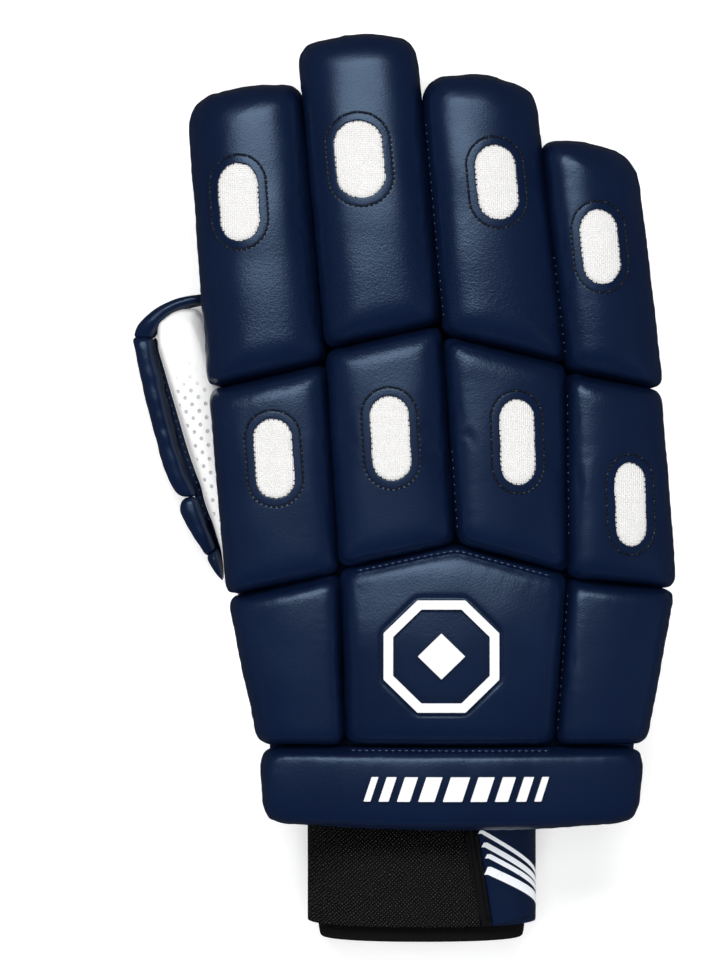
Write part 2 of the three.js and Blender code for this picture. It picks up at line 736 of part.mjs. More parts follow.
function addThumbPad(name, from, to, thick) {
  const [low, high] = [-thumbHeight * 0.31, thumbHeight * 0.35];
  const corner = (x, y, steps) => ({ x, y, r: thumbPadCorner, steps });
  const corners = [corner(from, low, 4), corner(to, low, 2), corner(to, high, 4), corner(from, high, 2)];
  const inset = Math.min(to - from, high - low) * 0.45;
  const centre = new THREE.Vector2((from + to) / 2, (low + high) / 2);
  const reach = new THREE.Vector2((to - from) / 2 - inset, (high - low) / 2 - inset);
  const spine = [centre.clone().sub(reach), centre.clone().add(reach)];
  const place = (x, y, up) => {
    const share = THREE.MathUtils.clamp((x - from) / (to - from), 0, 1);
    return onThumb(x, y, 2 * clearance + up * thumbPadThickness * mix(thick[0], thick[1], share));
  };
  addPiece(name, stuffedPad(roundedOutline(corners), spine, place), "navy_leather");
}

// The wristband: a soft liner inside, with elastic, a binding and a strap tab around it
const bandHeight = wristHeight - leather - 3 * clearance;
const bandRoof = () => bandHeight;
const bandEnd = -wristbandLength + lap;

function bandLine(along, inset, from, to, steps) {
  return Array.from({ length: steps + 1 }, (_, k) => {
    const angle = THREE.MathUtils.degToRad(mix(from, to, k / steps));
    return sleevePoint(wristLeft, wristRight, along, bandRoof, inset, angle, bandSquareness);
  });
}

// The liner stands out below the band, where its rim rolls in.
function addLiner() {
  const outside = elasticThickness + 2 * clearance;
  const stations = [lap, bandEnd, bandEnd - linerReach];
  const rolls = [0, 0, linerRoll];
  const ring = (y, inset) => bandLine(y, inset, 0, 360 - 360 / linerSides, linerSides - 1);
  const outer = stations.map((y, k) => ring(y, outside + rolls[k]));
  const inner = stations.map((y) => ring(y, outside + linerThickness));
  addPiece("wrist_liner", hollowWall(outer, inner, false), "black_towelling");
}

// One stretch of the wristband around the liner, between two angles at its top and lower ends.
function addBandStretch(name, material, topAngles, endAngles, steps) {
  const rings = [0, 0.5, 1].map((share) => {
    const y = mix(lap, bandEnd, share);
    const [from, to] = [0, 1].map((k) => mix(topAngles[k], endAngles[k], share));
    return [
      ...bandLine(y, 0, from, to, steps),
      ...bandLine(y, elasticThickness, from, to, steps).toReversed(),
    ];
  });
  addPiece(name, loft(rings, flatSection), material);
}

// Angles around the band run from the little finger's side, over the top, to the thumb's side.
const bindingAngles = { top: 67.5, end: 56.5 };
const bindingSpan = 6;
const tabEnd = -62;
const angleGap = 0.8;

function addWristband() {
  addLiner();
  const { top, end } = bindingAngles;
  addBandStretch("wrist_elastic", "black_elastic",
    [top + bindingSpan + angleGap, 360 + tabEnd - angleGap],
    [end + bindingSpan + angleGap, 360 + tabEnd - angleGap], 18);
  addBandStretch("strap_binding", "black_binding", [top, top + bindingSpan], [end, end + bindingSpan], 2);
  addBandStretch("strap_tab", "navy_leather", [tabEnd, top - angleGap], [tabEnd, end - angleGap], 12);
}

// Assembly
fingers.forEach(addFingerPads);
addBackPads();
addCuff();
addBadge();
addCuffBars();
fingers.forEach(addStall);
addBacking();
addPiece("palm", subtract(palmGeometry(), thumbSolid(leather)), "white_leather");
addPiece("thumb_stall", subtract(thumbSolid(0), thumbSolid(leather), palmSpace()), "white_leather");
for (const { name, from, to, thick } of thumbPads) addThumbPad(name, from * sideRun, to * sideRun, thick);
const tipEnd = sideRun + cornerRun + thumbWidth * 0.45;
addThumbPad("thumb_pad_tip", sideRun, tipEnd, [0.9, 0.48]);
addWristband();

// The origin is the centre of the glove's bounding box, on the table.
const bounds = new THREE.Box3().setFromObject(glove, true);
const middle = bounds.getCenter(new THREE.Vector3());
glove.position.set(-middle.x, -middle.y, -bounds.min.z);

export default glove;
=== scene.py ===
import random
from math import atan2, cos, hypot, pi, radians, sin

import bmesh
import bpy
import numpy as np
from mathutils import Matrix, Vector, noise
from mathutils.bvhtree import BVHTree
from mathutils.geometry import convex_hull_2d


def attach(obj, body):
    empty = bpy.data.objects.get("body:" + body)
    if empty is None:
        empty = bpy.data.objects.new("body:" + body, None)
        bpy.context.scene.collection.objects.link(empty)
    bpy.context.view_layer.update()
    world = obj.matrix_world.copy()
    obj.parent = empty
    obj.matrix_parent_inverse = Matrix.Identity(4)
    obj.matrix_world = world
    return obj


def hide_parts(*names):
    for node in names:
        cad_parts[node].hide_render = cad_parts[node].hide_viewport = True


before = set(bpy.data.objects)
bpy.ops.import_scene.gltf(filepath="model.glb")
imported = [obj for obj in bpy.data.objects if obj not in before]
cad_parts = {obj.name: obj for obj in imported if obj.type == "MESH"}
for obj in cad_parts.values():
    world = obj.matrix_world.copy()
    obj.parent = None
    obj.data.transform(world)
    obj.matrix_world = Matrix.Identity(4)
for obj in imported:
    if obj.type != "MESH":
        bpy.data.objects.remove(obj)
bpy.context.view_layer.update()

MM = 0.001
FINGERS = ["index", "middle", "ring", "little"]
random.seed(11)


# Camera, light and floor

PHOTO_WIDTH, PHOTO_HEIGHT = 720, 960
PHOTO_SCALE = 0.3304 * MM
PHOTO_CENTRE = (-13.1 * MM, 2.7 * MM)
PAD_LEVEL = 45 * MM


LENS, SENSOR = 120, 36
DISTANCE = PHOTO_HEIGHT * PHOTO_SCALE * LENS / SENSOR


def seen_at(right, down, height):
    """The place at some height, mm, that the camera sees at a pixel of the photograph."""
    scale = PHOTO_SCALE * (1 + (PAD_LEVEL - height * MM) / DISTANCE)
    return Vector((PHOTO_CENTRE[0] + (right - PHOTO_WIDTH / 2) * scale,
                   PHOTO_CENTRE[1] + (PHOTO_HEIGHT / 2 - down) * scale, height * MM))


def set_up_camera():
    """A long lens straight above the glove, as in the photograph."""
    camera = bpy.data.cameras.new("camera")
    camera.lens = LENS
    camera.sensor_width = SENSOR
    camera.clip_start = 0.05
    holder = bpy.data.objects.new("camera", camera)
    holder.location = (*PHOTO_CENTRE, PAD_LEVEL + DISTANCE)
    bpy.context.collection.objects.link(holder)
    bpy.context.scene.camera = holder


def soft_box(name, place, aim, size, power, mirrored):
    """A rectangular soft light. Only a mirrored one shows in the leather's gloss."""
    light = bpy.data.lights.new(name, "AREA")
    light.shape = "ELLIPSE"
    light.size, light.size_y = size
    light.energy = power
    holder = bpy.data.objects.new(name, light)
    holder.location = place
    holder.rotation_euler = (Vector(aim) - Vector(place)).to_track_quat("-Z", "Y").to_euler()
    holder.visible_glossy = mirrored
    bpy.context.collection.objects.link(holder)


def set_up_studio():
    """A big soft light beyond the fingertips, weaker ones at the sides, and a pale floor."""
    bpy.context.scene.view_settings.view_transform = "Standard"
    middle = (0, 0, 0.03)
    soft_box("key", (-0.1, 0.66, 1.13), middle, (1.1, 0.42), 9.8, True)
    soft_box("left", (-1.25, -0.05, 0.85), middle, (0.8, 0.9), 8, False)
    soft_box("right", (1.25, -0.05, 0.85), middle, (0.8, 0.9), 8, False)
    soft_box("front", (0, -1.3, 0.75), middle, (0.9, 0.6), 8, False)
    soft_box("above", (0, 0, 1.6), middle, (0.9, 0.9), 6, False)
    world = bpy.data.worlds.new("studio")
    world.use_nodes = True
    backdrop = world.node_tree.nodes["Background"]
    backdrop.inputs["Color"].default_value = (0.93, 0.96, 1.0, 1)
    backdrop.inputs["Strength"].default_value = 0.05
    bpy.context.scene.world = world
    bpy.ops.object.select_all(action="DESELECT")
    bpy.ops.mesh.primitive_plane_add(size=8)
    floor = bpy.context.object
    floor.name = "floor"
    floor.data.materials.append(pale_floor())
    floor.visible_glossy = False


# Materials

def linear(code, alpha=1.0):
    """An sRGB hex colour as the linear values that a shader takes."""
    parts = [int(code[i:i + 2], 16) / 255 for i in (1, 3, 5)]
    return tuple(c / 12.92 if c <= 0.04045 else ((c + 0.055) / 1.055) ** 2.4 for c in parts) + (alpha,)


def add_node(material, kind, settings=(), **inputs):
    """A node with its settings, and for each input a value or the socket that feeds it."""
    node = material.node_tree.nodes.new(kind)
    for key, value in dict(settings).items():
        setattr(node, key, value)
    for key, value in inputs.items():
        socket = node.inputs[int(key[1:])] if key[0] == "i" and key[1:].isdigit() else node.inputs[key.replace("_", " ")]
        if isinstance(value, bpy.types.NodeSocket):
            material.node_tree.links.new(value, socket)
        else:
            socket.default_value = value
    return node


def start_material(name, colour, roughness, ior=1.5, **shader):
    """A principled material with its plain values on the shader's own sockets."""
    material = bpy.data.materials.new(name)
    material.use_nodes = True
    surface = material.node_tree.nodes["Principled BSDF"]
    surface.inputs["Base Color"].default_value = linear(colour)
    surface.inputs["Roughness"].default_value = roughness
    surface.inputs["IOR"].default_value = ior
    for key, value in shader.items():
        surface.inputs[key.replace("_", " ")].default_value = value
    material.diffuse_color = linear(colour)
    return material, surface


def object_place(material):
    return add_node(material, "ShaderNodeTexCoord").outputs["Object"]


def tint(material, surface, place, low, high, patch_mm, detail=3.0):
    """A slow drift between two close colours, as dye and handling leave it."""
    cloud = add_node(material, "ShaderNodeTexNoise", Vector=place, Scale=1 / (patch_mm * MM), Detail=detail)
    ramp = add_node(material, "ShaderNodeMix", {"data_type": "RGBA"}, i0=cloud.outputs["Fac"],
                    i6=linear(low), i7=linear(high))
    material.node_tree.links.new(ramp.outputs[2], surface.inputs["Base Color"])
    return cloud


def pale_floor():
    material, _ = start_material("matt white paper", "#fdfdfd", 0.9, Emission_Color=(1, 1, 1, 1),
                                 Emission_Strength=0.22)
    return material


def navy_coated_leather():
    """Navy polyurethane-coated leather: a pebbled grain under 1 mm across that breaks the light into
    small specks, and fine crinkles about 1 mm apart where the pads flex, by the attribute flex."""
    material, surface = start_material("navy coated leather", "#0c1936", 0.31, 1.5,
                                       Specular_Tint=(0.5, 0.72, 1.0, 1.0))
    place = object_place(material)
    cloud = tint(material, surface, place, "#09142c", "#0c1935", 28)
    pebble = add_node(material, "ShaderNodeTexVoronoi", {"feature": "SMOOTH_F1"}, Vector=place,
                      Scale=1 / (0.7 * MM), Smoothness=0.6)
    fine = add_node(material, "ShaderNodeTexNoise", Vector=place, Scale=1 / (0.5 * MM), Detail=3.0)
    crease = add_node(material, "ShaderNodeTexNoise", Vector=place, Scale=1 / (9 * MM), Detail=3.0,
                      Distortion=0.4)
    grain = add_node(material, "ShaderNodeMath", {"operation": "MULTIPLY_ADD"}, i0=fine.outputs["Fac"],
                     i1=0.55, i2=pebble.outputs["Distance"])
    rough = add_node(material, "ShaderNodeMapRange", i0=cloud.outputs["Fac"], i1=0.3, i2=0.7, i3=0.29, i4=0.34)
    material.node_tree.links.new(rough.outputs["Result"], surface.inputs["Roughness"])
    small = add_node(material, "ShaderNodeBump", Strength=0.25, Distance=0.09 * MM, Height=grain.outputs["Value"])
    large = add_node(material, "ShaderNodeBump", Strength=0.1, Distance=0.5 * MM, Height=crease.outputs["Fac"],
                     Normal=small.outputs["Normal"])
    across = add_node(material, "ShaderNodeMapping", Vector=place, Rotation=(0, 0, 0.45), Scale=(0.7, 1, 1))
    crinkle = add_node(material, "ShaderNodeTexNoise", Vector=across.outputs["Vector"], Scale=1 / (0.8 * MM),
                       Detail=2.0, Distortion=0.8)
    flex = add_node(material, "ShaderNodeAttribute", {"attribute_name": "flex"})
    wrinkled = add_node(material, "ShaderNodeMath", {"operation": "MULTIPLY"}, i0=crinkle.outputs["Fac"],
                        i1=flex.outputs["Fac"])
    worn = add_node(material, "ShaderNodeBump", Strength=0.42, Distance=0.2 * MM,
                    Height=wrinkled.outputs["Value"], Normal=large.outputs["Normal"])
    material.node_tree.links.new(worn.outputs["Normal"], surface.inputs["Normal"])
    return material


def white_punched_leather():
    """Thin white sheepskin for the hand side: matt and slightly warm, punched where the attribute
    airy says with air holes 1.2 mm across, 3.3 mm apart on the slant, whose shade is painted as soft grey dots."""
    material, surface = start_material("white punched leather", "#fdfdfd", 0.6, 1.5, Sheen_Weight=0.05)
    place = object_place(material)
    turned = add_node(material, "ShaderNodeMapping", Vector=place, Rotation=(0, 0, 0.72),
                      Scale=(1 / (3.3 * MM), 1 / (3.3 * MM), 0))
    cell = add_node(material, "ShaderNodeVectorMath", {"operation": "FRACTION"}, i0=turned.outputs["Vector"])
    off = add_node(material, "ShaderNodeVectorMath", {"operation": "DISTANCE"}, i0=cell.outputs["Vector"],
                   i1=(0.5, 0.5, 0))
    hole = add_node(material, "ShaderNodeMapRange", {"interpolation_type": "SMOOTHSTEP"},
                    i0=off.outputs["Value"], i1=0.12, i2=0.22, i3=1.0, i4=0.0)
    airy = add_node(material, "ShaderNodeAttribute", {"attribute_name": "airy"})
    holes = add_node(material, "ShaderNodeMath", {"operation": "MULTIPLY"}, i0=hole.outputs["Result"],
                     i1=airy.outputs["Fac"])
    # The holes' grey is painted shade: the shade inside each hole, painted into the colour.
    shade = add_node(material, "ShaderNodeMix", {"data_type": "RGBA"}, i0=holes.outputs["Value"],
                     i6=linear("#fdfdfd"), i7=linear("#bfc1c4"))
    material.node_tree.links.new(shade.outputs[2], surface.inputs["Base Color"])
    fine = add_node(material, "ShaderNodeTexNoise", Vector=place, Scale=1 / (0.9 * MM), Detail=4.0)
    crease = add_node(material, "ShaderNodeTexNoise", Vector=place, Scale=1 / (7 * MM), Detail=3.0, Distortion=0.6)
    small = add_node(material, "ShaderNodeBump", Strength=0.25, Distance=0.15 * MM, Height=fine.outputs["Fac"])
    large = add_node(material, "ShaderNodeBump", Strength=0.4, Distance=0.8 * MM, Height=crease.outputs["Fac"],
                     Normal=small.outputs["Normal"])
    dents = add_node(material, "ShaderNodeBump", {"invert": True}, Strength=0.8, Distance=0.5 * MM,
                     Height=holes.outputs["Value"], Normal=large.outputs["Normal"])
    material.node_tree.links.new(dents.outputs["Normal"], surface.inputs["Normal"])
    return material


def white_mesh_cloth():
    """White woven mesh behind the windows: threads 0.6 mm apart in both directions."""
    material, surface = start_material("white woven mesh", "#f4f3f1", 0.85, 1.45, Sheen_Weight=0.2)
    place = object_place(material)
    tint(material, surface, place, "#efeeec", "#f7f6f5", 6)
    threads = []
    for direction in ("X", "Y"):
        wave = add_node(material, "ShaderNodeTexWave", {"bands_direction": direction, "wave_profile": "SIN"},
                        Vector=place, Scale=pi / 10 / (0.7 * MM), Distortion=1.2, Detail=1.0)
        threads.append(wave.outputs["Fac"])
    weave = add_node(material, "ShaderNodeMath", {"operation": "ADD"}, i0=threads[0], i1=threads[1])
    bump = add_node(material, "ShaderNodeBump", Strength=0.8, Distance=0.25 * MM, Height=weave.outputs["Value"])
    material.node_tree.links.new(bump.outputs["Normal"], surface.inputs["Normal"])
    return material


def black_knit_elastic():
    """Black knitted elastic: loops in rows and columns about 1 mm apart, whose tops are painted
    as small grey specks on black: painted highlights where the loops catch the light."""
    material, surface = start_material("black knitted elastic", "#050505", 0.85, 1.4)
    place = object_place(material)
    slanted = add_node(material, "ShaderNodeMapping", Vector=place, Rotation=(0, 0, 0.8))
    waves = []
    for direction, pitch in (("X", 0.95 * MM), ("Y", 0.85 * MM)):
        wave = add_node(material, "ShaderNodeTexWave", {"bands_direction": direction, "wave_profile": "SIN"},
                        Vector=slanted.outputs["Vector"], Scale=pi / 10 / pitch, Distortion=4.0, Detail=1.5,
                        Detail_Scale=1.6)
        waves.append(wave.outputs["Fac"])
    loops = add_node(material, "ShaderNodeMath", {"operation": "MULTIPLY"}, i0=waves[0], i1=waves[1])
    # The loops' tops are painted lighter grey: painted highlights.
    tops = add_node(material, "ShaderNodeMapRange", {"interpolation_type": "SMOOTHSTEP"},
                    i0=loops.outputs["Value"], i1=0.45, i2=0.95, i3=0.0, i4=1.0)
    shade = add_node(material, "ShaderNodeMix", {"data_type": "RGBA"}, i0=tops.outputs["Result"],
                     i6=linear("#030303"), i7=linear("#3e3e40"))
    material.node_tree.links.new(shade.outputs[2], surface.inputs["Base Color"])
    bump = add_node(material, "ShaderNodeBump", Strength=0.8, Distance=0.45 * MM, Height=loops.outputs["Value"])
    material.node_tree.links.new(bump.outputs["Normal"], surface.inputs["Normal"])
    return material


def black_terry():
    """Black terry cloth for the sweatband: a dull, fuzzy pile of loops under 1 mm."""
    material, surface = start_material("black terry", "#060606", 0.95, 1.4)
    place = object_place(material)
    pile = add_node(material, "ShaderNodeTexNoise", Vector=place, Scale=1 / (0.8 * MM), Detail=3.0, Roughness=0.7)
    shade = add_node(material, "ShaderNodeMix", {"data_type": "RGBA"}, i0=pile.outputs["Fac"],
                     i6=linear("#030303"), i7=linear("#141415"))
    material.node_tree.links.new(shade.outputs[2], surface.inputs["Base Color"])
    bump = add_node(material, "ShaderNodeBump", Strength=1.0, Distance=0.7 * MM, Height=pile.outputs["Fac"])
    material.node_tree.links.new(bump.outputs["Normal"], surface.inputs["Normal"])
    return material


def black_bias_binding():
    """Black woven bias binding folded over the strap's end: tight and slightly glossy."""
    material, surface = start_material("black bias binding", "#0a0a0c", 0.36, 1.5)
    place = object_place(material)
    weave = add_node(material, "ShaderNodeTexNoise", Vector=place, Scale=1 / (0.7 * MM), Detail=2.0)
    bump = add_node(material, "ShaderNodeBump", Strength=0.5, Distance=0.2 * MM, Height=weave.outputs["Fac"])
    material.node_tree.links.new(bump.outputs["Normal"], surface.inputs["Normal"])
    return material


def white_moulded_rubber():
    """White moulded thermoplastic rubber: smooth, with a faint satin mottle."""
    material, surface = start_material("white moulded rubber", "#eef0f4", 0.42, 1.5, Coat_Weight=0.1)
    place = object_place(material)
    tint(material, surface, place, "#e8ebf0", "#f4f6f9", 9)
    skin = add_node(material, "ShaderNodeTexNoise", Vector=place, Scale=1 / (0.8 * MM), Detail=2.0)
    bump = add_node(material, "ShaderNodeBump", Strength=0.15, Distance=0.1 * MM, Height=skin.outputs["Fac"])
    material.node_tree.links.new(bump.outputs["Normal"], surface.inputs["Normal"])
    return material


def white_screen_print():
    """White screen print on the strap: a thin matt film, rubbed grey in places."""
    material, surface = start_material("white screen print", "#e6e9ee", 0.55, 1.5)
    place = object_place(material)
    rubbed = add_node(material, "ShaderNodeTexNoise", Vector=place, Scale=1 / (4 * MM), Detail=6.0, Roughness=0.7)
    share = add_node(material, "ShaderNodeMapRange", i0=rubbed.outputs["Fac"], i1=0.58, i2=0.74, i3=0.0, i4=0.7)
    shade = add_node(material, "ShaderNodeMix", {"data_type": "RGBA"}, i0=share.outputs["Result"],
                     i6=linear("#eceff4"), i7=linear("#7d8390"))
    material.node_tree.links.new(shade.outputs[2], surface.inputs["Base Color"])
    return material


def sewing_thread(name, colour, gloss):
    """Bonded nylon thread: a twisted ply with a slight gloss."""
    material, surface = start_material(name, colour, gloss, 1.53)
    place = object_place(material)
    twist = add_node(material, "ShaderNodeTexNoise", Vector=place, Scale=1 / (0.35 * MM), Detail=2.0)
    bump = add_node(material, "ShaderNodeBump", Strength=0.6, Distance=0.1 * MM, Height=twist.outputs["Fac"])
    material.node_tree.links.new(bump.outputs["Normal"], surface.inputs["Normal"])
    return material


NAVY = navy_coated_leather()
WHITE = white_punched_leather()
MESH = white_mesh_cloth()
ELASTIC = black_knit_elastic()
TERRY = black_terry()
BINDING = black_bias_binding()
RUBBER = white_moulded_rubber()
DARK_THREAD = sewing_thread("black sewing thread", "#03050a", 0.7)
# A thread coloured lighter than the navy one: its colour is a painted highlight, the glints of light on stitches.
PAINTED_GLINT_THREAD = sewing_thread("navy thread painted with glints", "#465470", 0.3)
PRINT = white_screen_print()


# Shaping

def keep_as_piece(piece, material, nodes=()):
    """A finished piece: its one material, its body and the nodes that it stands for."""
    piece.data.materials.clear()
    piece.data.materials.append(material)
    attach(piece, "root")
    if nodes:
        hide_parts(*nodes)
    return piece


def choose(piece):
    bpy.ops.object.select_all(action="DESELECT")
    piece.select_set(True)
    bpy.context.view_layer.objects.active = piece


def apply_modifier(piece, kind, **settings):
    choose(piece)
    modifier = piece.modifiers.new("work", kind)
    for key, value in settings.items():
        setattr(modifier, key, value)
    bpy.ops.object.modifier_apply(modifier=modifier.name)


def copy_of(name, *nodes):
    """One new object from copies of CAD nodes, with their doubled points merged."""
    work = bmesh.new()
    for node in nodes:
        work.from_mesh(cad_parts[node].data)
    bmesh.ops.remove_doubles(work, verts=work.verts, dist=0.01 * MM)
    mesh = bpy.data.meshes.new(name)
    work.to_mesh(mesh)
    work.free()
    piece = bpy.data.objects.new(name, mesh)
    bpy.context.collection.objects.link(piece)
    return piece


def smooth_shading(piece, angle=None):
    choose(piece)
    if angle is None:
        bpy.ops.object.shade_smooth()
    else:
        bpy.ops.object.shade_smooth_by_angle(angle=radians(angle))


def tree_of(piece):
    """The piece's surface, to be searched by rays."""
    bpy.context.view_layer.update()
    return BVHTree.FromObject(piece, bpy.context.evaluated_depsgraph_get())


def points_of(piece):
    flat = np.empty(len(piece.data.vertices) * 3)
    piece.data.vertices.foreach_get("co", flat)
    return flat.reshape(-1, 3)


def normals_of(piece):
    flat = np.empty(len(piece.data.vertices) * 3)
    piece.data.vertex_normals.foreach_get("vector", flat)
    return flat.reshape(-1, 3)


def set_points(piece, points):
    piece.data.vertices.foreach_set("co", points.ravel())
    piece.data.update()


def pulled(name, rings, ends="capped"):
    """A skin pulled through rings of points: a circle is extruded once for each further ring. Its
    ends are capped, joined to each other, or left open."""
    bpy.ops.object.select_all(action="DESELECT")
    bpy.ops.mesh.primitive_circle_add(vertices=len(rings[0]), radius=MM)
    piece = bpy.context.object
    piece.name = name
    bpy.ops.object.mode_set(mode="EDIT")
    bpy.ops.mesh.select_mode(type="VERT")
    bpy.ops.mesh.select_all(action="SELECT")
    line = list(range(len(rings[0])))
    for number, ring in enumerate(rings):
        if number:
            bpy.ops.mesh.extrude_region_move()
        work = bmesh.from_edit_mesh(piece.data)
        work.verts.index_update()
        work.verts.ensure_lookup_table()
        if number:
            line = [next(edge.other_vert(work.verts[i]).index for edge in work.verts[i].link_edges
                         if edge.other_vert(work.verts[i]).select) for i in line]
        for place, index in zip(ring, line):
            work.verts[index].co = place
        bmesh.update_edit_mesh(piece.data)
    first = list(range(len(rings[0])))
    if ends == "capped":
        select_points(piece, first)
        bpy.ops.mesh.edge_face_add()
        select_points(piece, line)
        bpy.ops.mesh.edge_face_add()
    if ends == "joined":
        select_points(piece, first + line)
        bpy.ops.mesh.bridge_edge_loops()
    bpy.ops.mesh.select_all(action="SELECT")
    bpy.ops.mesh.normals_make_consistent(inside=False)
    bpy.ops.object.mode_set(mode="OBJECT")
    return piece


def select_points(piece, indices):
    """Selects these points and the edges between them, in edit mode."""
    bpy.ops.mesh.select_all(action="DESELECT")
    work = bmesh.from_edit_mesh(piece.data)
    work.verts.ensure_lookup_table()
    for index in indices:
        work.verts[index].select = True
    work.select_flush(True)
    bmesh.update_edit_mesh(piece.data)


def outline_from_above(points, count):
    """The outline of some points seen from above: evenly spaced points that run anticlockwise, and
    the outward direction at each."""
    flat = [Vector(p[:2]) for p in points]
    corners = np.array([flat[i] for i in convex_hull_2d(flat)])
    area = np.sum(corners[:, 0] * np.roll(corners[:, 1], -1) - corners[:, 1] * np.roll(corners[:, 0], -1))
    if area < 0:
        corners = corners[::-1]
    corners = np.vstack([corners, corners[:1]])
    steps = np.concatenate([[0], np.cumsum(np.hypot(*np.diff(corners, axis=0).T))])
    places = np.linspace(0, steps[-1], count, endpoint=False)
    line = np.column_stack([np.interp(places, steps, corners[:, k]) for k in (0, 1)])
    line = (np.roll(line, 1, 0) + 2 * line + np.roll(line, -1, 0)) / 4
    along = np.roll(line, -1, 0) - np.roll(line, 1, 0)
    outward = np.column_stack([along[:, 1], -along[:, 0]]) / np.hypot(*along.T)[:, None]
    return line, outward


def nearest_on(points, line, chosen):
    """Each point's nearest place on the chosen stretches of a closed line, seen from above: how far
    off it is, which stretch it lies on, and at what share of that."""
    start, along = line[chosen], (np.roll(line, -1, 0) - line)[chosen]
    gap = points[:, None, :2] - start[None]
    share = np.clip(np.sum(gap * along, axis=2) / np.sum(along ** 2, axis=1), 0, 1)
    far = np.sum((gap - share[..., None] * along) ** 2, axis=2)
    nearest = np.argmin(far, axis=1)
    rows = np.arange(len(points))
    return np.sqrt(far[rows, nearest]), chosen[nearest], share[rows, nearest]


def distance_outside(points, line, outward):
    """How far each point lies outside a closed line seen from above, its place along the line as a
    number of stretches, and the outward direction there."""
    far, stretch, share = nearest_on(points, line, np.arange(len(line)))
    after = (stretch + 1) % len(line)
    foot = line[stretch] + (line[after] - line[stretch]) * share[:, None]
    direction = outward[stretch] * (1 - share)[:, None] + outward[after] * share[:, None]
    side = np.sign(np.sum((points[:, :2] - foot) * direction, axis=1))
    return far * side, stretch + share, direction


def eased(share):
    share = np.clip(share, 0, 1)
    return share * share * (3 - 2 * share)


def fitted_level(points):
    """A smooth level through some points: their height as a quadratic in x and y."""
    def terms(x, y):
        return np.column_stack([np.ones_like(x), x, y, x * x, x * y, y * y])
    sizes = np.linalg.lstsq(terms(points[:, 0], points[:, 1]), points[:, 2], rcond=None)[0]
    return lambda place: terms(place[:, 0], place[:, 1]) @ sizes


def at_level(place, height):
    return np.column_stack([place, height])


# Padded leather

# How each kind of pad rounds over, at its flanks and at the ends that face the fingertips and the
# wrist: how far in the rounding starts, how far it drops in all (both in mm), and how late it turns.
SHOULDERS = {
    "roll": {"flank": (17, 4.6, 3.0), "end": (12, 5.2, 2.8)},
    "knuckle": {"flank": (11, 2.8, 3.0), "end": (9, 3.2, 2.8)},
    "back": {"flank": (6, 2.2, 2.8), "end": (5.5, 2.3, 2.4)},
    "cuff": {"flank": (4, 1.6, 2.4), "end": (3.5, 1.5, 2.4)},
}


def stuffed(name, nodes, kind, lean=0.0):
    """A stuffed leather pad from copies of its CAD solids: remeshed evenly, softened, rounded over,
    and puffed up by a cloth simulation with air pressed inside it. It replaces the first of them.
    With a lean its top slopes from side to side, as on the outer fingers."""
    pad = copy_of(name, *nodes)
    cut = outline_from_above(points_of(pad), 240)
    apply_modifier(pad, "REMESH", mode="VOXEL", voxel_size=1.6 * MM)
    apply_modifier(pad, "SMOOTH", factor=0.5, iterations=3)
    fill_out(pad, cut)
    round_over(pad, cut, SHOULDERS[kind])
    points = points_of(pad)
    height = points[:, 2] - points[:, 2].min()
    points[:, 2] += lean * (points[:, 0] - cut[0][:, 0].mean()) * height / height.max()
    set_points(pad, points)
    apply_modifier(pad, "SMOOTH", factor=0.5, iterations=2)
    fill_out(pad, cut)
    puff(pad)
    apply_modifier(pad, "SUBSURF", levels=1, render_levels=1)
    crease(pad)
    smooth_shading(pad)
    keep_as_piece(pad, NAVY, nodes[:1])
    return pad


def fill_out(pad, cut, beyond=0.8):
    """Pushes the flanks back out to the outline that the leather was cut to, and a little beyond
    it, so that neighbouring pads nearly touch."""
    points = points_of(pad)
    softened, _, _ = distance_outside(points, *outline_from_above(points, 240))
    wanted, _, direction = distance_outside(points, *cut)
    push = (softened - wanted + beyond * MM) * np.exp(softened / (5 * MM))
    points[:, :2] += direction * push[:, None]
    set_points(pad, points)


def round_over(pad, cut, shoulder):
    """Gives the top its rounded shoulders: low at the edges, with a soft mitre at the corners."""
    line, outward = cut
    points, normals = points_of(pad), normals_of(pad)
    tree = tree_of(pad)
    outside, _, direction = distance_outside(points, line, outward)
    middle = (outside < -5 * MM) & (normals[:, 2] > 0.8)
    level = fitted_level(points[middle])
    inwards = np.clip(1.5 * MM + outside, 0, None)
    looks = points[:, :2] - direction * inwards[:, None]
    above = points[:, 2].max() + 10 * MM
    tops = points[:, 2].copy()
    for number, place in enumerate(looks):
        hit = tree.ray_cast(Vector((*place, above)), Vector((0, 0, -1)))[0]
        if hit:
            tops[number] = max(hit.z, tops[number])
    drops = []
    for side, stretches in (("flank", np.abs(outward[:, 0]) > 0.6), ("end", np.abs(outward[:, 1]) > 0.6)):
        reach, depth, turn = shoulder[side]
        far = nearest_on(points, line, np.flatnonzero(stretches))[0]
        drops.append(depth * MM * np.clip(1 - far / (reach * MM), 0, 1) ** turn)
    drop = (drops[0] ** 3 + drops[1] ** 3) ** (1 / 3)
    moved = level(points) - drop - tops
    points[:, 2] += moved * eased(1 - (tops - points[:, 2]) / (11 * MM))
    set_points(pad, points)


PUFF_FRAMES = 20
PUFF_UP, PUFF_OUT = 1.0 * MM, 0.35 * MM


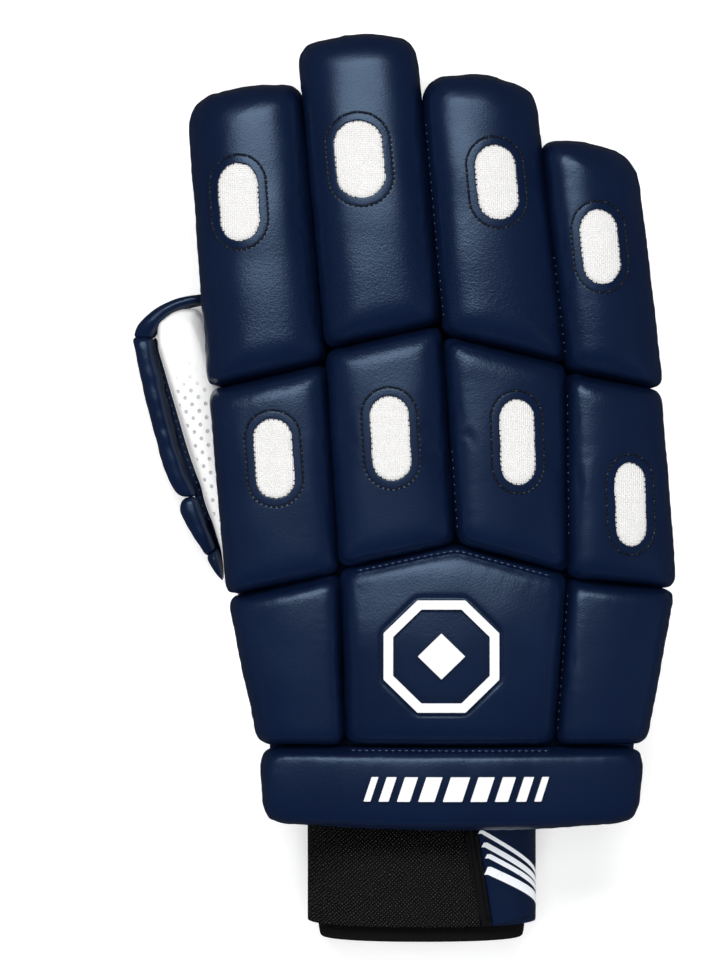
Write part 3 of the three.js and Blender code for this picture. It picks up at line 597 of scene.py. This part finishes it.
def puff(pad):
    """Presses air into the pad with its underside held, and caps how far each point moves: up to
    1 mm in height, and less than half the seam's gap sideways."""
    before = points_of(pad)
    low, high = before[:, 2].min(), before[:, 2].max()
    held = pad.vertex_groups.new(name="held")
    held.add([int(i) for i in np.flatnonzero(before[:, 2] < low + 0.3 * (high - low))], 1.0, "REPLACE")
    cloth = pad.modifiers.new("air", "CLOTH")
    cloth.settings.quality = 4
    cloth.settings.mass = 0.15
    cloth.settings.tension_stiffness = 12
    cloth.settings.compression_stiffness = 12
    cloth.settings.shear_stiffness = 4
    cloth.settings.bending_stiffness = 0.4
    cloth.settings.use_pressure = True
    cloth.settings.uniform_pressure_force = 4
    cloth.settings.vertex_group_mass = "held"
    cloth.settings.effector_weights.gravity = 0
    cloth.point_cache.frame_end = PUFF_FRAMES
    for frame_number in range(1, PUFF_FRAMES + 1):
        bpy.context.scene.frame_set(frame_number)
    choose(pad)
    bpy.ops.object.modifier_apply(modifier=cloth.name)
    bpy.context.scene.frame_set(1)
    moved = points_of(pad) - before
    sideways = np.hypot(moved[:, 0], moved[:, 1])
    moved[:, :2] *= (np.minimum(sideways, PUFF_OUT) / np.maximum(sideways, 1e-9))[:, None]
    moved[:, 2] = np.clip(moved[:, 2], -PUFF_UP, PUFF_UP)
    set_points(pad, before + moved)
    pad.vertex_groups.clear()


def crease(pad):
    """Slow unevenness over the whole pad, and short puckers that fade away from its seams."""
    points, normals = points_of(pad), normals_of(pad)
    line, outward = outline_from_above(points, 240)
    outside, along, _ = distance_outside(points, line, outward)
    slow = np.array([noise.noise(Vector(p) / (17 * MM)) for p in points])
    step = np.hypot(*(line[1] - line[0]))
    pucker = np.array([noise.noise(Vector((n * step / (2.4 * MM), o / (9 * MM), 3.7))) for n, o
                       in zip(along, outside)])
    amount = 0.3 * MM * slow + 0.16 * MM * pucker * np.exp(-np.abs(outside) / (4 * MM))
    set_points(pad, points + normals * amount[:, None])


def mark(piece, name, amount):
    """Stores an amount for each point, which a material reads."""
    piece.data.attributes.new(name, "FLOAT", "POINT").data.foreach_set("value", amount)


def mark_flex(pad, kind):
    """Where a finger bends, its leather is crinkled: the lower part of a roll, and the edge of a
    knuckle pad next to it."""
    points = points_of(pad)
    line, outward = outline_from_above(points, 240)
    facing = {"roll": outward[:, 1] < -0.6, "knuckle": outward[:, 1] > 0.6, "back": outward[:, 1] > 0.6}[kind]
    reach, most = {"roll": (52, 1.0), "knuckle": (17, 0.9), "back": (7, 0.4)}[kind]
    far, _, _ = nearest_on(points, line, np.flatnonzero(facing))
    mark(pad, "flex", most * eased(1.15 - far / (reach * MM)))


def press_along(pad, line, width, depth, step=0.0):
    """Presses a soft groove into a pad along an open line seen from above. With a step, the leather
    on the outer side stands that much higher, as a folded edge does."""
    line = np.array(line)[:, :2]
    stretches = np.arange(len(line) - 1)
    for band in (2.2 * width, 1.8 * width):
        far, _, _ = nearest_on(points_of(pad), line, stretches)
        refine(pad, (far < band * MM) & (normals_of(pad)[:, 2] > 0.2))
    points, normals = points_of(pad), normals_of(pad)
    far, _, _ = nearest_on(points, line, stretches)
    pressed = depth * MM * np.exp(-(far / (width * MM)) ** 2)
    ridge = step * MM * np.exp(-((far - 1.2 * width * MM) / (0.7 * width * MM)) ** 2)
    move = np.where(normals[:, 2] > 0.2, ridge - pressed, 0)
    set_points(pad, points + normals * move[:, None])
    smooth_shading(pad)


def refine(pad, near):
    """Divides the faces that lie wholly among these points, so that a fine groove can be pressed."""
    choose(pad)
    bpy.ops.object.mode_set(mode="EDIT")
    bpy.ops.mesh.select_mode(type="FACE")
    bpy.ops.mesh.select_all(action="DESELECT")
    work = bmesh.from_edit_mesh(pad.data)
    for face in work.faces:
        face.select = all(near[point.index] for point in face.verts)
    bmesh.update_edit_mesh(pad.data)
    bpy.ops.mesh.subdivide(number_cuts=1, quadcorner="INNERVERT")
    bpy.ops.mesh.select_mode(type="VERT")
    bpy.ops.object.mode_set(mode="OBJECT")


# Stitching

def stitch_row(name, places, directions, ups, material, length=1.05, width=0.42, height=0.4):
    """A row of stitches as one piece: a thread's short hump is modelled once and copied along."""
    bpy.ops.object.select_all(action="DESELECT")
    bpy.ops.mesh.primitive_uv_sphere_add(segments=6, ring_count=4, radius=0.5 * MM, rotation=(0, radians(90), 0))
    row = bpy.context.object
    row.name = name
    bpy.ops.object.transform_apply(location=False, rotation=True, scale=False)
    bpy.ops.object.mode_set(mode="EDIT")
    bpy.ops.transform.resize(value=(length, width, height))
    bpy.ops.object.mode_set(mode="OBJECT")
    hump = points_of(row)
    faces = [list(face.vertices) for face in row.data.polygons]
    points, all_faces = [], []
    for number, (place, direction, up) in enumerate(zip(places, directions, ups)):
        x = Vector(direction).normalized()
        z = (Vector(up) - x * x.dot(Vector(up))).normalized()
        turn = np.array([x, z.cross(x), z])
        points.append(hump @ turn + np.array(place))
        all_faces += [[i + number * len(hump) for i in face] for face in faces]
    row.data.clear_geometry()
    row.data.from_pydata(np.vstack(points).tolist(), [], all_faces)
    row.data.update()
    smooth_shading(row)
    return keep_as_piece(row, material)


def spaced(line, pitch, closed=False):
    """Evenly spaced places along a line of points, and the direction at each."""
    line = np.array(line)
    if closed:
        line = np.vstack([line, line[:1]])
    steps = np.concatenate([[0], np.cumsum(np.sqrt(np.sum(np.diff(line, axis=0) ** 2, axis=1)))])
    count = int(round(steps[-1] / (pitch * MM)))
    marks = (np.arange(count) + 0.5) * steps[-1] / count
    places = np.column_stack([np.interp(marks, steps, line[:, k]) for k in range(3)])
    ahead = np.column_stack([np.interp(np.minimum(marks + 0.3 * MM, steps[-1]), steps, line[:, k]) for k in range(3)])
    behind = np.column_stack([np.interp(np.maximum(marks - 0.3 * MM, 0), steps, line[:, k]) for k in range(3)])
    return places, ahead - behind


def laid_on(tree, line, height=0.0, above=0.2):
    """A line of places seen from above, laid on a surface: its points there and the normals."""
    points, ups = [], []
    for x, y in line:
        hit, normal, _, _ = tree.ray_cast(Vector((x, y, above)), Vector((0, 0, -1)))
        if hit:
            points.append(np.array(hit + normal * height * MM))
            ups.append(np.array(normal))
    return np.array(points), np.array(ups)


# Windows

RING_WIDTH = 2.6
GROOVE_WIDTH = 0.7 * MM
GROOVE_DEPTH = 0.13 * MM
WINDOW_STEPS = 72
# Each window's width and length as shares of its CAD ring's, and its shift to the right and up, mm.
WINDOWS = {
    "roll_index": (0.89, 1.02, 0.0, -0.4), "roll_middle": (1.03, 1.01, 0.0, -0.9),
    "roll_ring": (0.91, 0.98, -0.2, 0.0), "roll_little": (0.86, 0.98, -1.6, -1.6),
    "knuckle_pad_index": (0.94, 0.96, -0.6, -0.6), "knuckle_pad_middle": (0.96, 1.01, 0.1, -0.5),
    "knuckle_pad_ring": (0.89, 1.02, 0.8, 0.0), "knuckle_pad_little": (0.82, 1.0, -0.4, -0.6),
}


def window_line(base):
    """The outline of a window's ring and its outward directions."""
    corners = np.array([v.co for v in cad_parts[base + "_window_ring"].data.vertices])
    line, _ = outline_from_above(corners, WINDOW_STEPS)
    wide, long, right, up = WINDOWS[base]
    middle = line.mean(axis=0)
    line = (line - middle) * (wide, long) + middle + np.array((right, up)) * MM
    along = np.roll(line, -1, 0) - np.roll(line, 1, 0)
    return line, np.column_stack([along[:, 1], -along[:, 0]]) / np.hypot(*along.T)[:, None]


def press_groove(pad, line, outward):
    """Presses the stitched groove round a window, and the pocket that its ring and mesh lie in."""
    for band in (3.0 * MM, 2.2 * MM):
        outside, _, _ = distance_outside(points_of(pad), line, outward)
        refine(pad, (np.abs(outside) < band) & (normals_of(pad)[:, 2] > 0.3))
    points, normals = points_of(pad), normals_of(pad)
    outside, _, _ = distance_outside(points, line, outward)
    near = (outside < 3 * MM) & (normals[:, 2] > 0.3)
    level = fitted_level(points[near])
    groove = GROOVE_DEPTH * (1 - eased(outside[near] / GROOVE_WIDTH))
    pocket = 1.2 * MM * (1 - eased((outside[near] + 0.5 * MM) / (0.5 * MM)))
    points[near, 2] -= groove + pocket
    set_points(pad, points)
    smooth_shading(pad)
    return level


def window(pad, base):
    """A window in a pad: a stitched groove, a flat leather ring with a rough inner edge, and the
    mesh a little below it."""
    line, outward = window_line(base)
    level = press_groove(pad, line, outward)
    profile = [(-0.1, -1.3), (-0.06, -0.12), (0.0, -0.06), (0.2, -0.02), (0.9, 0.0), (1.8, 0.0),
               (2.42, -0.01), (2.52, -0.08), (2.58, -0.4), (2.6, -1.0), (1.3, -1.9)]
    rough = np.array([noise.noise(Vector((n * 0.55, len(base) + ord(base[-1]), 0.5))) for n in range(WINDOW_STEPS)])
    rings = []
    for inwards, height in profile:
        share = eased((inwards - 1.2) / 1.2)
        place = line - outward * (inwards + 0.25 * rough * share)[:, None] * MM
        rings.append(at_level(place, level(place) + height * MM))
    ring = pulled(base + "_window_rim", rings, "joined")
    apply_modifier(ring, "SUBSURF", levels=1, render_levels=1)
    smooth_shading(ring)
    keep_as_piece(ring, NAVY, [base + "_window_ring"])

    groove = line + outward * 0.25 * MM
    places, directions = spaced(at_level(groove, level(groove) + 0.05 * MM), 1.75, closed=True)
    ups = np.column_stack([np.zeros((len(places), 2)), np.ones(len(places))])
    stitch_row(base + "_window_stitches", places, directions, ups, DARK_THREAD, 1.35, 0.9, 0.45)
    # Between some stitches, tiny humps of the lighter thread paint glints of light on the stitching.
    between = ((places + np.roll(places, -1, axis=0)) / 2)[::3]
    stitch_row(base + "_window_painted_glints", between, directions[::3], ups[::3], PAINTED_GLINT_THREAD, 0.45, 0.4, 0.3)
    inner = line - outward * (RING_WIDTH - 0.05) * MM
    places, directions = spaced(at_level(inner, level(inner) - 0.15 * MM), 1.7, closed=True)
    across = np.column_stack([directions[:, 1], -directions[:, 0], directions[:, 2]])
    kept = [n for n in range(len(places)) if random.random() < 0.8]
    stitch_row(base + "_window_ticks", places[kept], across[kept], ups[:len(kept)], DARK_THREAD, 0.9, 0.4, 0.5)

    centre = line.mean(axis=0)
    edge = line - outward * (RING_WIDTH - 0.5) * MM
    rings = []
    for share in (1, 0.94, 0.8, 0.6, 0.4, 0.2, 0.05):
        place = centre + (edge - centre) * share
        rings.append(at_level(place, level(place) - (0.35 + 0.4 * share ** 4) * MM))
    cloth = pulled(base + "_window_cloth", rings, "open")
    choose(cloth)
    bpy.ops.object.mode_set(mode="EDIT")
    select_points(cloth, range(WINDOW_STEPS * (len(rings) - 1), WINDOW_STEPS * len(rings)))
    bpy.ops.mesh.merge(type="CENTER")
    bpy.ops.object.mode_set(mode="OBJECT")
    bpy.context.view_layer.update()
    apply_modifier(cloth, "SOLIDIFY", thickness=0.5 * MM, offset=-1)
    smooth_shading(cloth, 40)
    keep_as_piece(cloth, MESH, [base + "_window_mesh"])


# The assembly

# How far the tops of a finger's pads slope down to the little-finger side, which sets their highlights
LEAN = {"index": -0.06, "middle": -0.03, "ring": -0.13, "little": -0.17}
LEATHER = {}
for finger in FINGERS:
    for kind, base in (("roll", f"roll_{finger}"), ("knuckle", f"knuckle_pad_{finger}")):
        nodes = [base, base + "_window_ring", base + "_window_mesh"]
        LEATHER[base] = stuffed(base + "_leather", nodes, kind, LEAN[finger])
        window(LEATHER[base], base)
        mark_flex(LEATHER[base], kind)
for base in ("back_pad_index", "back_pad_centre", "back_pad_little"):
    LEATHER[base] = stuffed(base + "_leather", [base], "back")
LEATHER["cuff_pad"] = stuffed("cuff_pad_leather", ["cuff_pad"], "cuff")


def edge_line(base, facing, inwards):
    """The stretch of a pad's outline that faces one way, so far inside it, from left to right or
    from the fingertips down."""
    line, outward = outline_from_above(points_of(LEATHER[base]), 240)
    chosen = outward @ np.array(facing) > 0.8
    places = (line - outward * inwards * MM)[chosen]
    return places[np.argsort(places @ np.array((facing[1], facing[0])))]


def sewn(name, base, line, pitch, thread, sizes, height=0.0):
    """A row of stitches laid on a pad."""
    places, ups = laid_on(tree_of(LEATHER[base]), line, height)
    spots, directions = spaced(places, pitch)
    nearest = [int(np.argmin(np.sum((places - spot) ** 2, axis=1))) for spot in spots]
    return stitch_row(name, spots, directions, ups[nearest], thread, *sizes)


# The centre pad's pointed top edge is folded over and topstitched.
fold = edge_line("back_pad_centre", (0, 1), 2.4)[3:-3]
press_along(LEATHER["back_pad_centre"], fold, 0.55, 0.4, step=0.2)
# The topstitching is in the lighter thread, whose colour paints the glints of light on it.
sewn("back_pad_topstitching", "back_pad_centre", fold, 2.2, PAINTED_GLINT_THREAD, (1.2, 0.45, 0.45), 0.02)
# So is the part of the cuff's top edge that the centre pad meets.
join = edge_line("cuff_pad", (0, 1), 1.3)
join = join[(join[:, 0] > seen_at(347, 0, 55).x) & (join[:, 0] < seen_at(552, 0, 55).x)]
press_along(LEATHER["cuff_pad"], join, 0.45, 0.35, step=0.25)
# This topstitching too is in the lighter thread, whose colour paints glints of light.
sewn("cuff_topstitching", "cuff_pad", join, 2.2, PAINTED_GLINT_THREAD, (1.2, 0.4, 0.4), 0.02)
# The badge is pressed into the pad, which leaves a soft valley round it.
rim, outward = outline_from_above(points_of(copy_of("badge_outline", "badge_frame")), 96)
bpy.data.objects.remove(bpy.data.objects["badge_outline"])
around = rim + outward * 0.7 * MM
press_along(LEATHER["back_pad_centre"], np.vstack([around, around[:1]]), 0.9, 0.45)
# Seams down the thumb-side edge of some pads, in the lighter thread whose colour paints the glints of thread there
for base, start, end in (("back_pad_little", 4, -4), ("knuckle_pad_little", 6, -14), ("roll_ring", 12, -4),
                         ("roll_little", 40, -4), ("knuckle_pad_ring", 40, -4)):
    seam = edge_line(base, (-1, 0), 0.9)[start:end]
    sewn(base + "_seam_stitches", base, seam, 2.8, PAINTED_GLINT_THREAD, (0.75, 0.3, 0.3), 0.02)
for base in ("back_pad_index", "back_pad_centre", "back_pad_little"):
    mark_flex(LEATHER[base], "back")


def leather_shell(name, node, material, kept=0.4):
    """A sewn wall of thin leather: a softened copy of its CAD solid that keeps a share of its faces."""
    shell = copy_of(name, node)
    apply_modifier(shell, "REMESH", mode="VOXEL", voxel_size=1.1 * MM)
    apply_modifier(shell, "SMOOTH", factor=0.5, iterations=4)
    apply_modifier(shell, "DECIMATE", ratio=kept)
    smooth_shading(shell)
    return keep_as_piece(shell, material, [node])


def cut_level(shell, height):
    """Divides the faces along a level line, so that two leathers meet there in a clean edge."""
    work = bmesh.new()
    work.from_mesh(shell.data)
    bmesh.ops.bisect_plane(work, geom=work.verts[:] + work.edges[:] + work.faces[:],
                           plane_co=(0, 0, height), plane_no=(0, 0, 1))
    work.to_mesh(shell.data)
    work.free()


def dark_backed(shell, height):
    """Gives the back of a finger stall the pads' navy leather, from the side seam upwards."""
    cut_level(shell, height)
    shell.data.materials.append(NAVY)
    for face in shell.data.polygons:
        face.material_index = int(face.center.z > height)


for finger in FINGERS:
    stall = leather_shell(f"stall_{finger}_leather", f"finger_stall_{finger}", WHITE)
    dark_backed(stall, 9 * MM)


def dark_under_pads(shell, height):
    """Gives the part of a shell above some height, mm, and under the pads their dark leather."""
    corners = np.vstack([points_of(LEATHER[base]) for base in LEATHER])
    line, outward = outline_from_above(corners, 240)
    cut_level(shell, height * MM)
    shell.data.materials.append(NAVY)
    centres = np.array([face.center for face in shell.data.polygons])
    outside, _, _ = distance_outside(centres, line, outward)
    for face, gap in zip(shell.data.polygons, outside):
        face.material_index = int(gap < -2 * MM and face.center.z > height * MM)


def punched(shell, lowest, highest):
    """Marks where the white leather has air holes, on faces that lie fairly flat."""
    points, normals = points_of(shell), normals_of(shell)
    along = eased((points[:, 1] - lowest) / (8 * MM)) * eased((highest - points[:, 1]) / (8 * MM))
    mark(shell, "airy", along * eased((np.abs(normals[:, 2]) - 0.35) / 0.3))


palm = leather_shell("palm_leather", "palm", WHITE, kept=0.6)
dark_under_pads(palm, 17)
punched(palm, -0.1, 0.03)
thumb = leather_shell("thumb_leather", "thumb_stall", WHITE)
punched(thumb, -0.06, seen_at(180, 372, 20).y)
leather_shell("back_leather", "back_panel", NAVY, kept=0.3)


# Between two fingers a gusset of leather lines the gap under the pads: where it starts and ends, mm
GUSSETS = {"index_middle": ((-23.5, 36), (-31.5, 122)), "middle_ring": ((15, 38), (8.5, 126)),
        "ring_little": ((53.5, 38), (44, 104))}
for fingers, (crotch, tip) in GUSSETS.items():
    rings = []
    for share in np.linspace(0, 1, 9):
        right, up = (crotch[n] + share * (tip[n] - crotch[n]) for n in (0, 1))
        low = 24 - 6 * share
        rings.append([((right + 4.2 * cos(a)) * MM, up * MM, (low + 3 * sin(a) - 2.5 * cos(a) ** 2) * MM)
                      for a in np.linspace(0, 2 * pi, 12, endpoint=False)])
    gusset = pulled(f"gusset_{fingers}", rings, "capped")
    apply_modifier(gusset, "SUBSURF", levels=1, render_levels=1)
    smooth_shading(gusset)
    keep_as_piece(gusset, NAVY)

# Thumb guard

# Each pad of the guard by sections: where the photograph shows its outer and its inner edge.
GUARD = {
    "tip": [((208, 293), (208, 304)), ((193, 294.3), (196, 305.4)), ((181, 297), (184, 309.5)),
            ((170, 300.8), (174.5, 313.6)), ((158, 306), (166, 321)), ((146, 315), (159, 329)),
            ((136.5, 325), (156, 334)), ((132.3, 338.6), (155, 339))],
    "upper": [((132.1, 336.6), (155, 336.8)), ((133.3, 346), (154.6, 347)), ((136.5, 360), (157, 359)),
              ((140.3, 376.8), (161.5, 376)), ((147.4, 407.4), (168, 406)), ((156.3, 440), (175.5, 438)),
              ((162.5, 464), (182.5, 461)), ((168.5, 481), (189, 478)), ((175.5, 493), (196, 491)),
              ((182, 497), (197.5, 496.5))],
    "lower": [((185, 497), (197, 496)), ((180.3, 502), (199.5, 502.5)), ((179.2, 508.5), (201.5, 508.5)),
              ((183, 518), (204.5, 516)), ((190, 531.5), (208.5, 526)), ((198.7, 545), (213, 538)),
              ((207, 557), (217, 548.5))],
    "base": [((206.6, 556), (217, 547.5)), ((209, 563), (219.5, 555)), ((213, 570), (221.5, 562)),
             ((218, 576.5), (222.8, 570)), ((223, 581), (224.5, 579))],
}
FLANGE = [(157, 339), (156.1, 346.2), (160.7, 360.5), (166.8, 382), (174, 405.4), (183.2, 438), (189, 456.3),
          (195.5, 474.7), (201.4, 487.7), (202.5, 498.5), (207.4, 512.6), (212.3, 521.3), (217.1, 537.6),
          (221.5, 553.8), (222.6, 567.9)]
GUARD_BOTTOM, GUARD_TOP = 3.5, 20


def guard_pad(place):
    """One pad of the thumb guard, pulled through its sections, softened and crinkled at its ends."""
    rows = GUARD[place]
    rings = []
    middle, half = (GUARD_TOP + GUARD_BOTTOM) / 2, (GUARD_TOP - GUARD_BOTTOM) / 2
    for number, (outer, inner) in enumerate(rows):
        ends = min(number, len(rows) - 1 - number)
        tall = half * (0.8, 0.95, 1.0)[min(ends, 2)]
        outer, inner = seen_at(*outer, 14), seen_at(*inner, 14)
        centre, wide = (outer + inner) / 2, (inner - outer) / 2
        ring = []
        for turn in range(20):
            angle = 2 * pi * turn / 20
            across, up = cos(angle), sin(angle)
            across, up = (abs(part) ** 0.6 * (1 if part > 0 else -1) for part in (across, up))
            spot = centre + wide * across
            ring.append((spot.x, spot.y, (middle + tall * up) * MM))
        rings.append(ring)
    first, last = np.array(rings[:2]), np.array(rings[-2:])
    rings.insert(1, (0.8 * first[0] + 0.2 * first[1]).tolist())
    rings.insert(-1, (0.2 * last[0] + 0.8 * last[1]).tolist())
    pad = pulled(f"thumb_pad_{place}_leather", rings, "capped")
    apply_modifier(pad, "SUBSURF", levels=2, render_levels=2)
    apply_modifier(pad, "REMESH", mode="VOXEL", voxel_size=0.95 * MM)
    apply_modifier(pad, "SMOOTH", factor=0.5, iterations=4)
    puff(pad)
    apply_modifier(pad, "SUBSURF", levels=1, render_levels=1)
    points, normals = points_of(pad), normals_of(pad)
    folds = np.array([noise.noise(Vector((p[0] / (9 * MM), p[1] / (4 * MM), p[2] / (9 * MM)))) for p in points])
    set_points(pad, points + normals * (0.35 * MM * folds)[:, None])
    smooth_shading(pad)
    keep_as_piece(pad, NAVY, ["thumb_pad_" + place])


for place in GUARD:
    guard_pad(place)

# The flange that sews the guard to the thumb: a strip laid on the white leather, stitched in the lighter thread whose
# colour paints glints of thread
thumb_tree = tree_of(thumb)
inner_edges = [inner for place in ("upper", "lower", "base") for _, inner in GUARD[place]]
rings = []
for right, down in FLANGE:
    rim = seen_at(right, down, 16)
    nearest = min((seen_at(*inner, 16) for inner in inner_edges), key=lambda spot: (spot - rim).length)
    under = nearest + (nearest - rim).normalized() * 1.5 * MM
    section = []
    for share, height in ((0, -0.8), (0, 0.35), (0.12, 0.55), (0.5, 0.5), (1, 0.2), (1, -1.2)):
        spot = rim.lerp(under, share)
        hit = thumb_tree.ray_cast(Vector((spot.x, spot.y, 0.2)), Vector((0, 0, -1)))[0]
        level = max(hit.z if hit else 0, 9 * MM)
        section.append((spot.x, spot.y, level + height * MM))
    rings.append(section)
flange = pulled("thumb_flange", rings, "capped")
apply_modifier(flange, "SUBSURF", levels=2, render_levels=2)
smooth_shading(flange)
keep_as_piece(flange, NAVY)
flange_line = [(seen_at(right - 3.2, down + 0.6, 16)) for right, down in FLANGE[1:-2]]
places, ups = laid_on(tree_of(flange), [(spot.x, spot.y) for spot in flange_line], 0.05)
spots, directions = spaced(places, 2.8)
stitch_row("thumb_flange_stitches", spots, directions, np.tile((0, 0, 1.0), (len(spots), 1)), PAINTED_GLINT_THREAD,
           1.0, 0.5, 0.5)


def rounded_copy(name, node, material, width, angle=30, levels=1):
    """A CAD piece with its faces made four-sided, its edges rounded and its surface smoothed."""
    piece = copy_of(name, node)
    choose(piece)
    bpy.ops.object.mode_set(mode="EDIT")
    bpy.ops.mesh.select_all(action="SELECT")
    bpy.ops.mesh.tris_convert_to_quads()
    bpy.ops.object.mode_set(mode="OBJECT")
    apply_modifier(piece, "BEVEL", width=width * MM, segments=2, limit_method="ANGLE", angle_limit=radians(angle))
    if levels:
        apply_modifier(piece, "SUBSURF", levels=levels, render_levels=levels)
    smooth_shading(piece, 40)
    return keep_as_piece(piece, material, [node])


rounded_copy("elastic_band", "wrist_elastic", ELASTIC, 0.7)
rounded_copy("towelling_band", "wrist_liner", TERRY, 0.7)
binding = rounded_copy("strap_end_binding", "strap_binding", BINDING, 0.5)
tab = rounded_copy("strap_leather", "strap_tab", NAVY, 0.5)

# Wristband trim

for side, (top, bottom) in (("left", ((465.8, 829), (481.4, 929.5))), ("right", ((474.7, 829), (490.8, 929)))):
    marks = [seen_at(*top, 41).lerp(seen_at(*bottom, 41), share) for share in np.linspace(0, 1, 14)]
    places, ups = laid_on(tree_of(binding), [(spot.x, spot.y) for spot in marks], 0.0)
    rings = []
    for place in places:
        rings.append([(place[0] + 0.75 * MM * cos(a), place[1], place[2] + (0.7 * sin(a) + 0.05) * MM)
                      for a in np.linspace(0, 2 * pi, 10, endpoint=False)])
    rib = pulled(f"strap_binding_{side}_rib", rings, "capped")
    smooth_shading(rib)
    keep_as_piece(rib, BINDING)

# The strap's four stripes: where each starts under the binding in the photograph, its width, mm, and its slope
STRIPES = [((470, 832), 1.3, 0.6), ((472.5, 845), 1.8, 0.57), ((475, 856.5), 1.6, 0.54), ((478, 871), 2.9, 0.48)]
tab_tree = tree_of(tab)
axis = Vector((8 * MM, 0, 21 * MM))
for number, (start, width, slope) in enumerate(STRIPES, 1):
    begin = seen_at(*start, 40)
    rings, run, last = [], 0.0, None
    for angle in np.radians(np.arange(75, -22, -2.2)):
        ray = Vector((cos(angle), 0, sin(angle)))
        y = begin.y - slope * run
        hit, normal, _, _ = tab_tree.ray_cast(axis + ray * 0.08 + Vector((0, y, 0)), -ray)
        if hit is None or hit.x < begin.x and hit.z > axis.z or y < -144.5 * MM:
            continue
        if last is not None:
            run += hypot(hit.x - last.x, hit.z - last.z)
        last = hit.copy()
        along = Vector((normal.z, -slope, -normal.x)).normalized()
        across = normal.cross(along).normalized()
        rings.append([hit + across * share * width * MM + normal * height * MM
                      for share, height in ((-0.5, -0.1), (-0.48, 0.1), (0, 0.14), (0.48, 0.1), (0.5, -0.1), (0, -0.15))])
        angle -= radians(2.2)
    stripe = pulled(f"strap_stripe_{number}", rings, "capped")
    smooth_shading(stripe, 50)
    keep_as_piece(stripe, PRINT)
hem = [seen_at(495 + 36 * share, 924.5 - 5.5 * share ** 2, 39) for share in np.linspace(0, 1, 12)]
places, ups = laid_on(tab_tree, [(spot.x, spot.y) for spot in hem], 0.02)
spots, directions = spaced(places, 2.2)
stitch_row("strap_hem_stitches", spots, directions, np.tile((0, 0, 1.0), (len(spots), 1)), DARK_THREAD, 1.4, 0.5, 0.4)

# Badge and bars

rounded_copy("badge_frame_rubber", "badge_frame", RUBBER, 0.25, levels=0)
rounded_copy("badge_diamond_rubber", "badge_diamond", RUBBER, 0.25, levels=0)
for number in range(1, 10):
    rounded_copy(f"cuff_bar_{number}_rubber", f"cuff_bar_{number}", RUBBER, 0.2, levels=0)

set_up_camera()
set_up_studio()
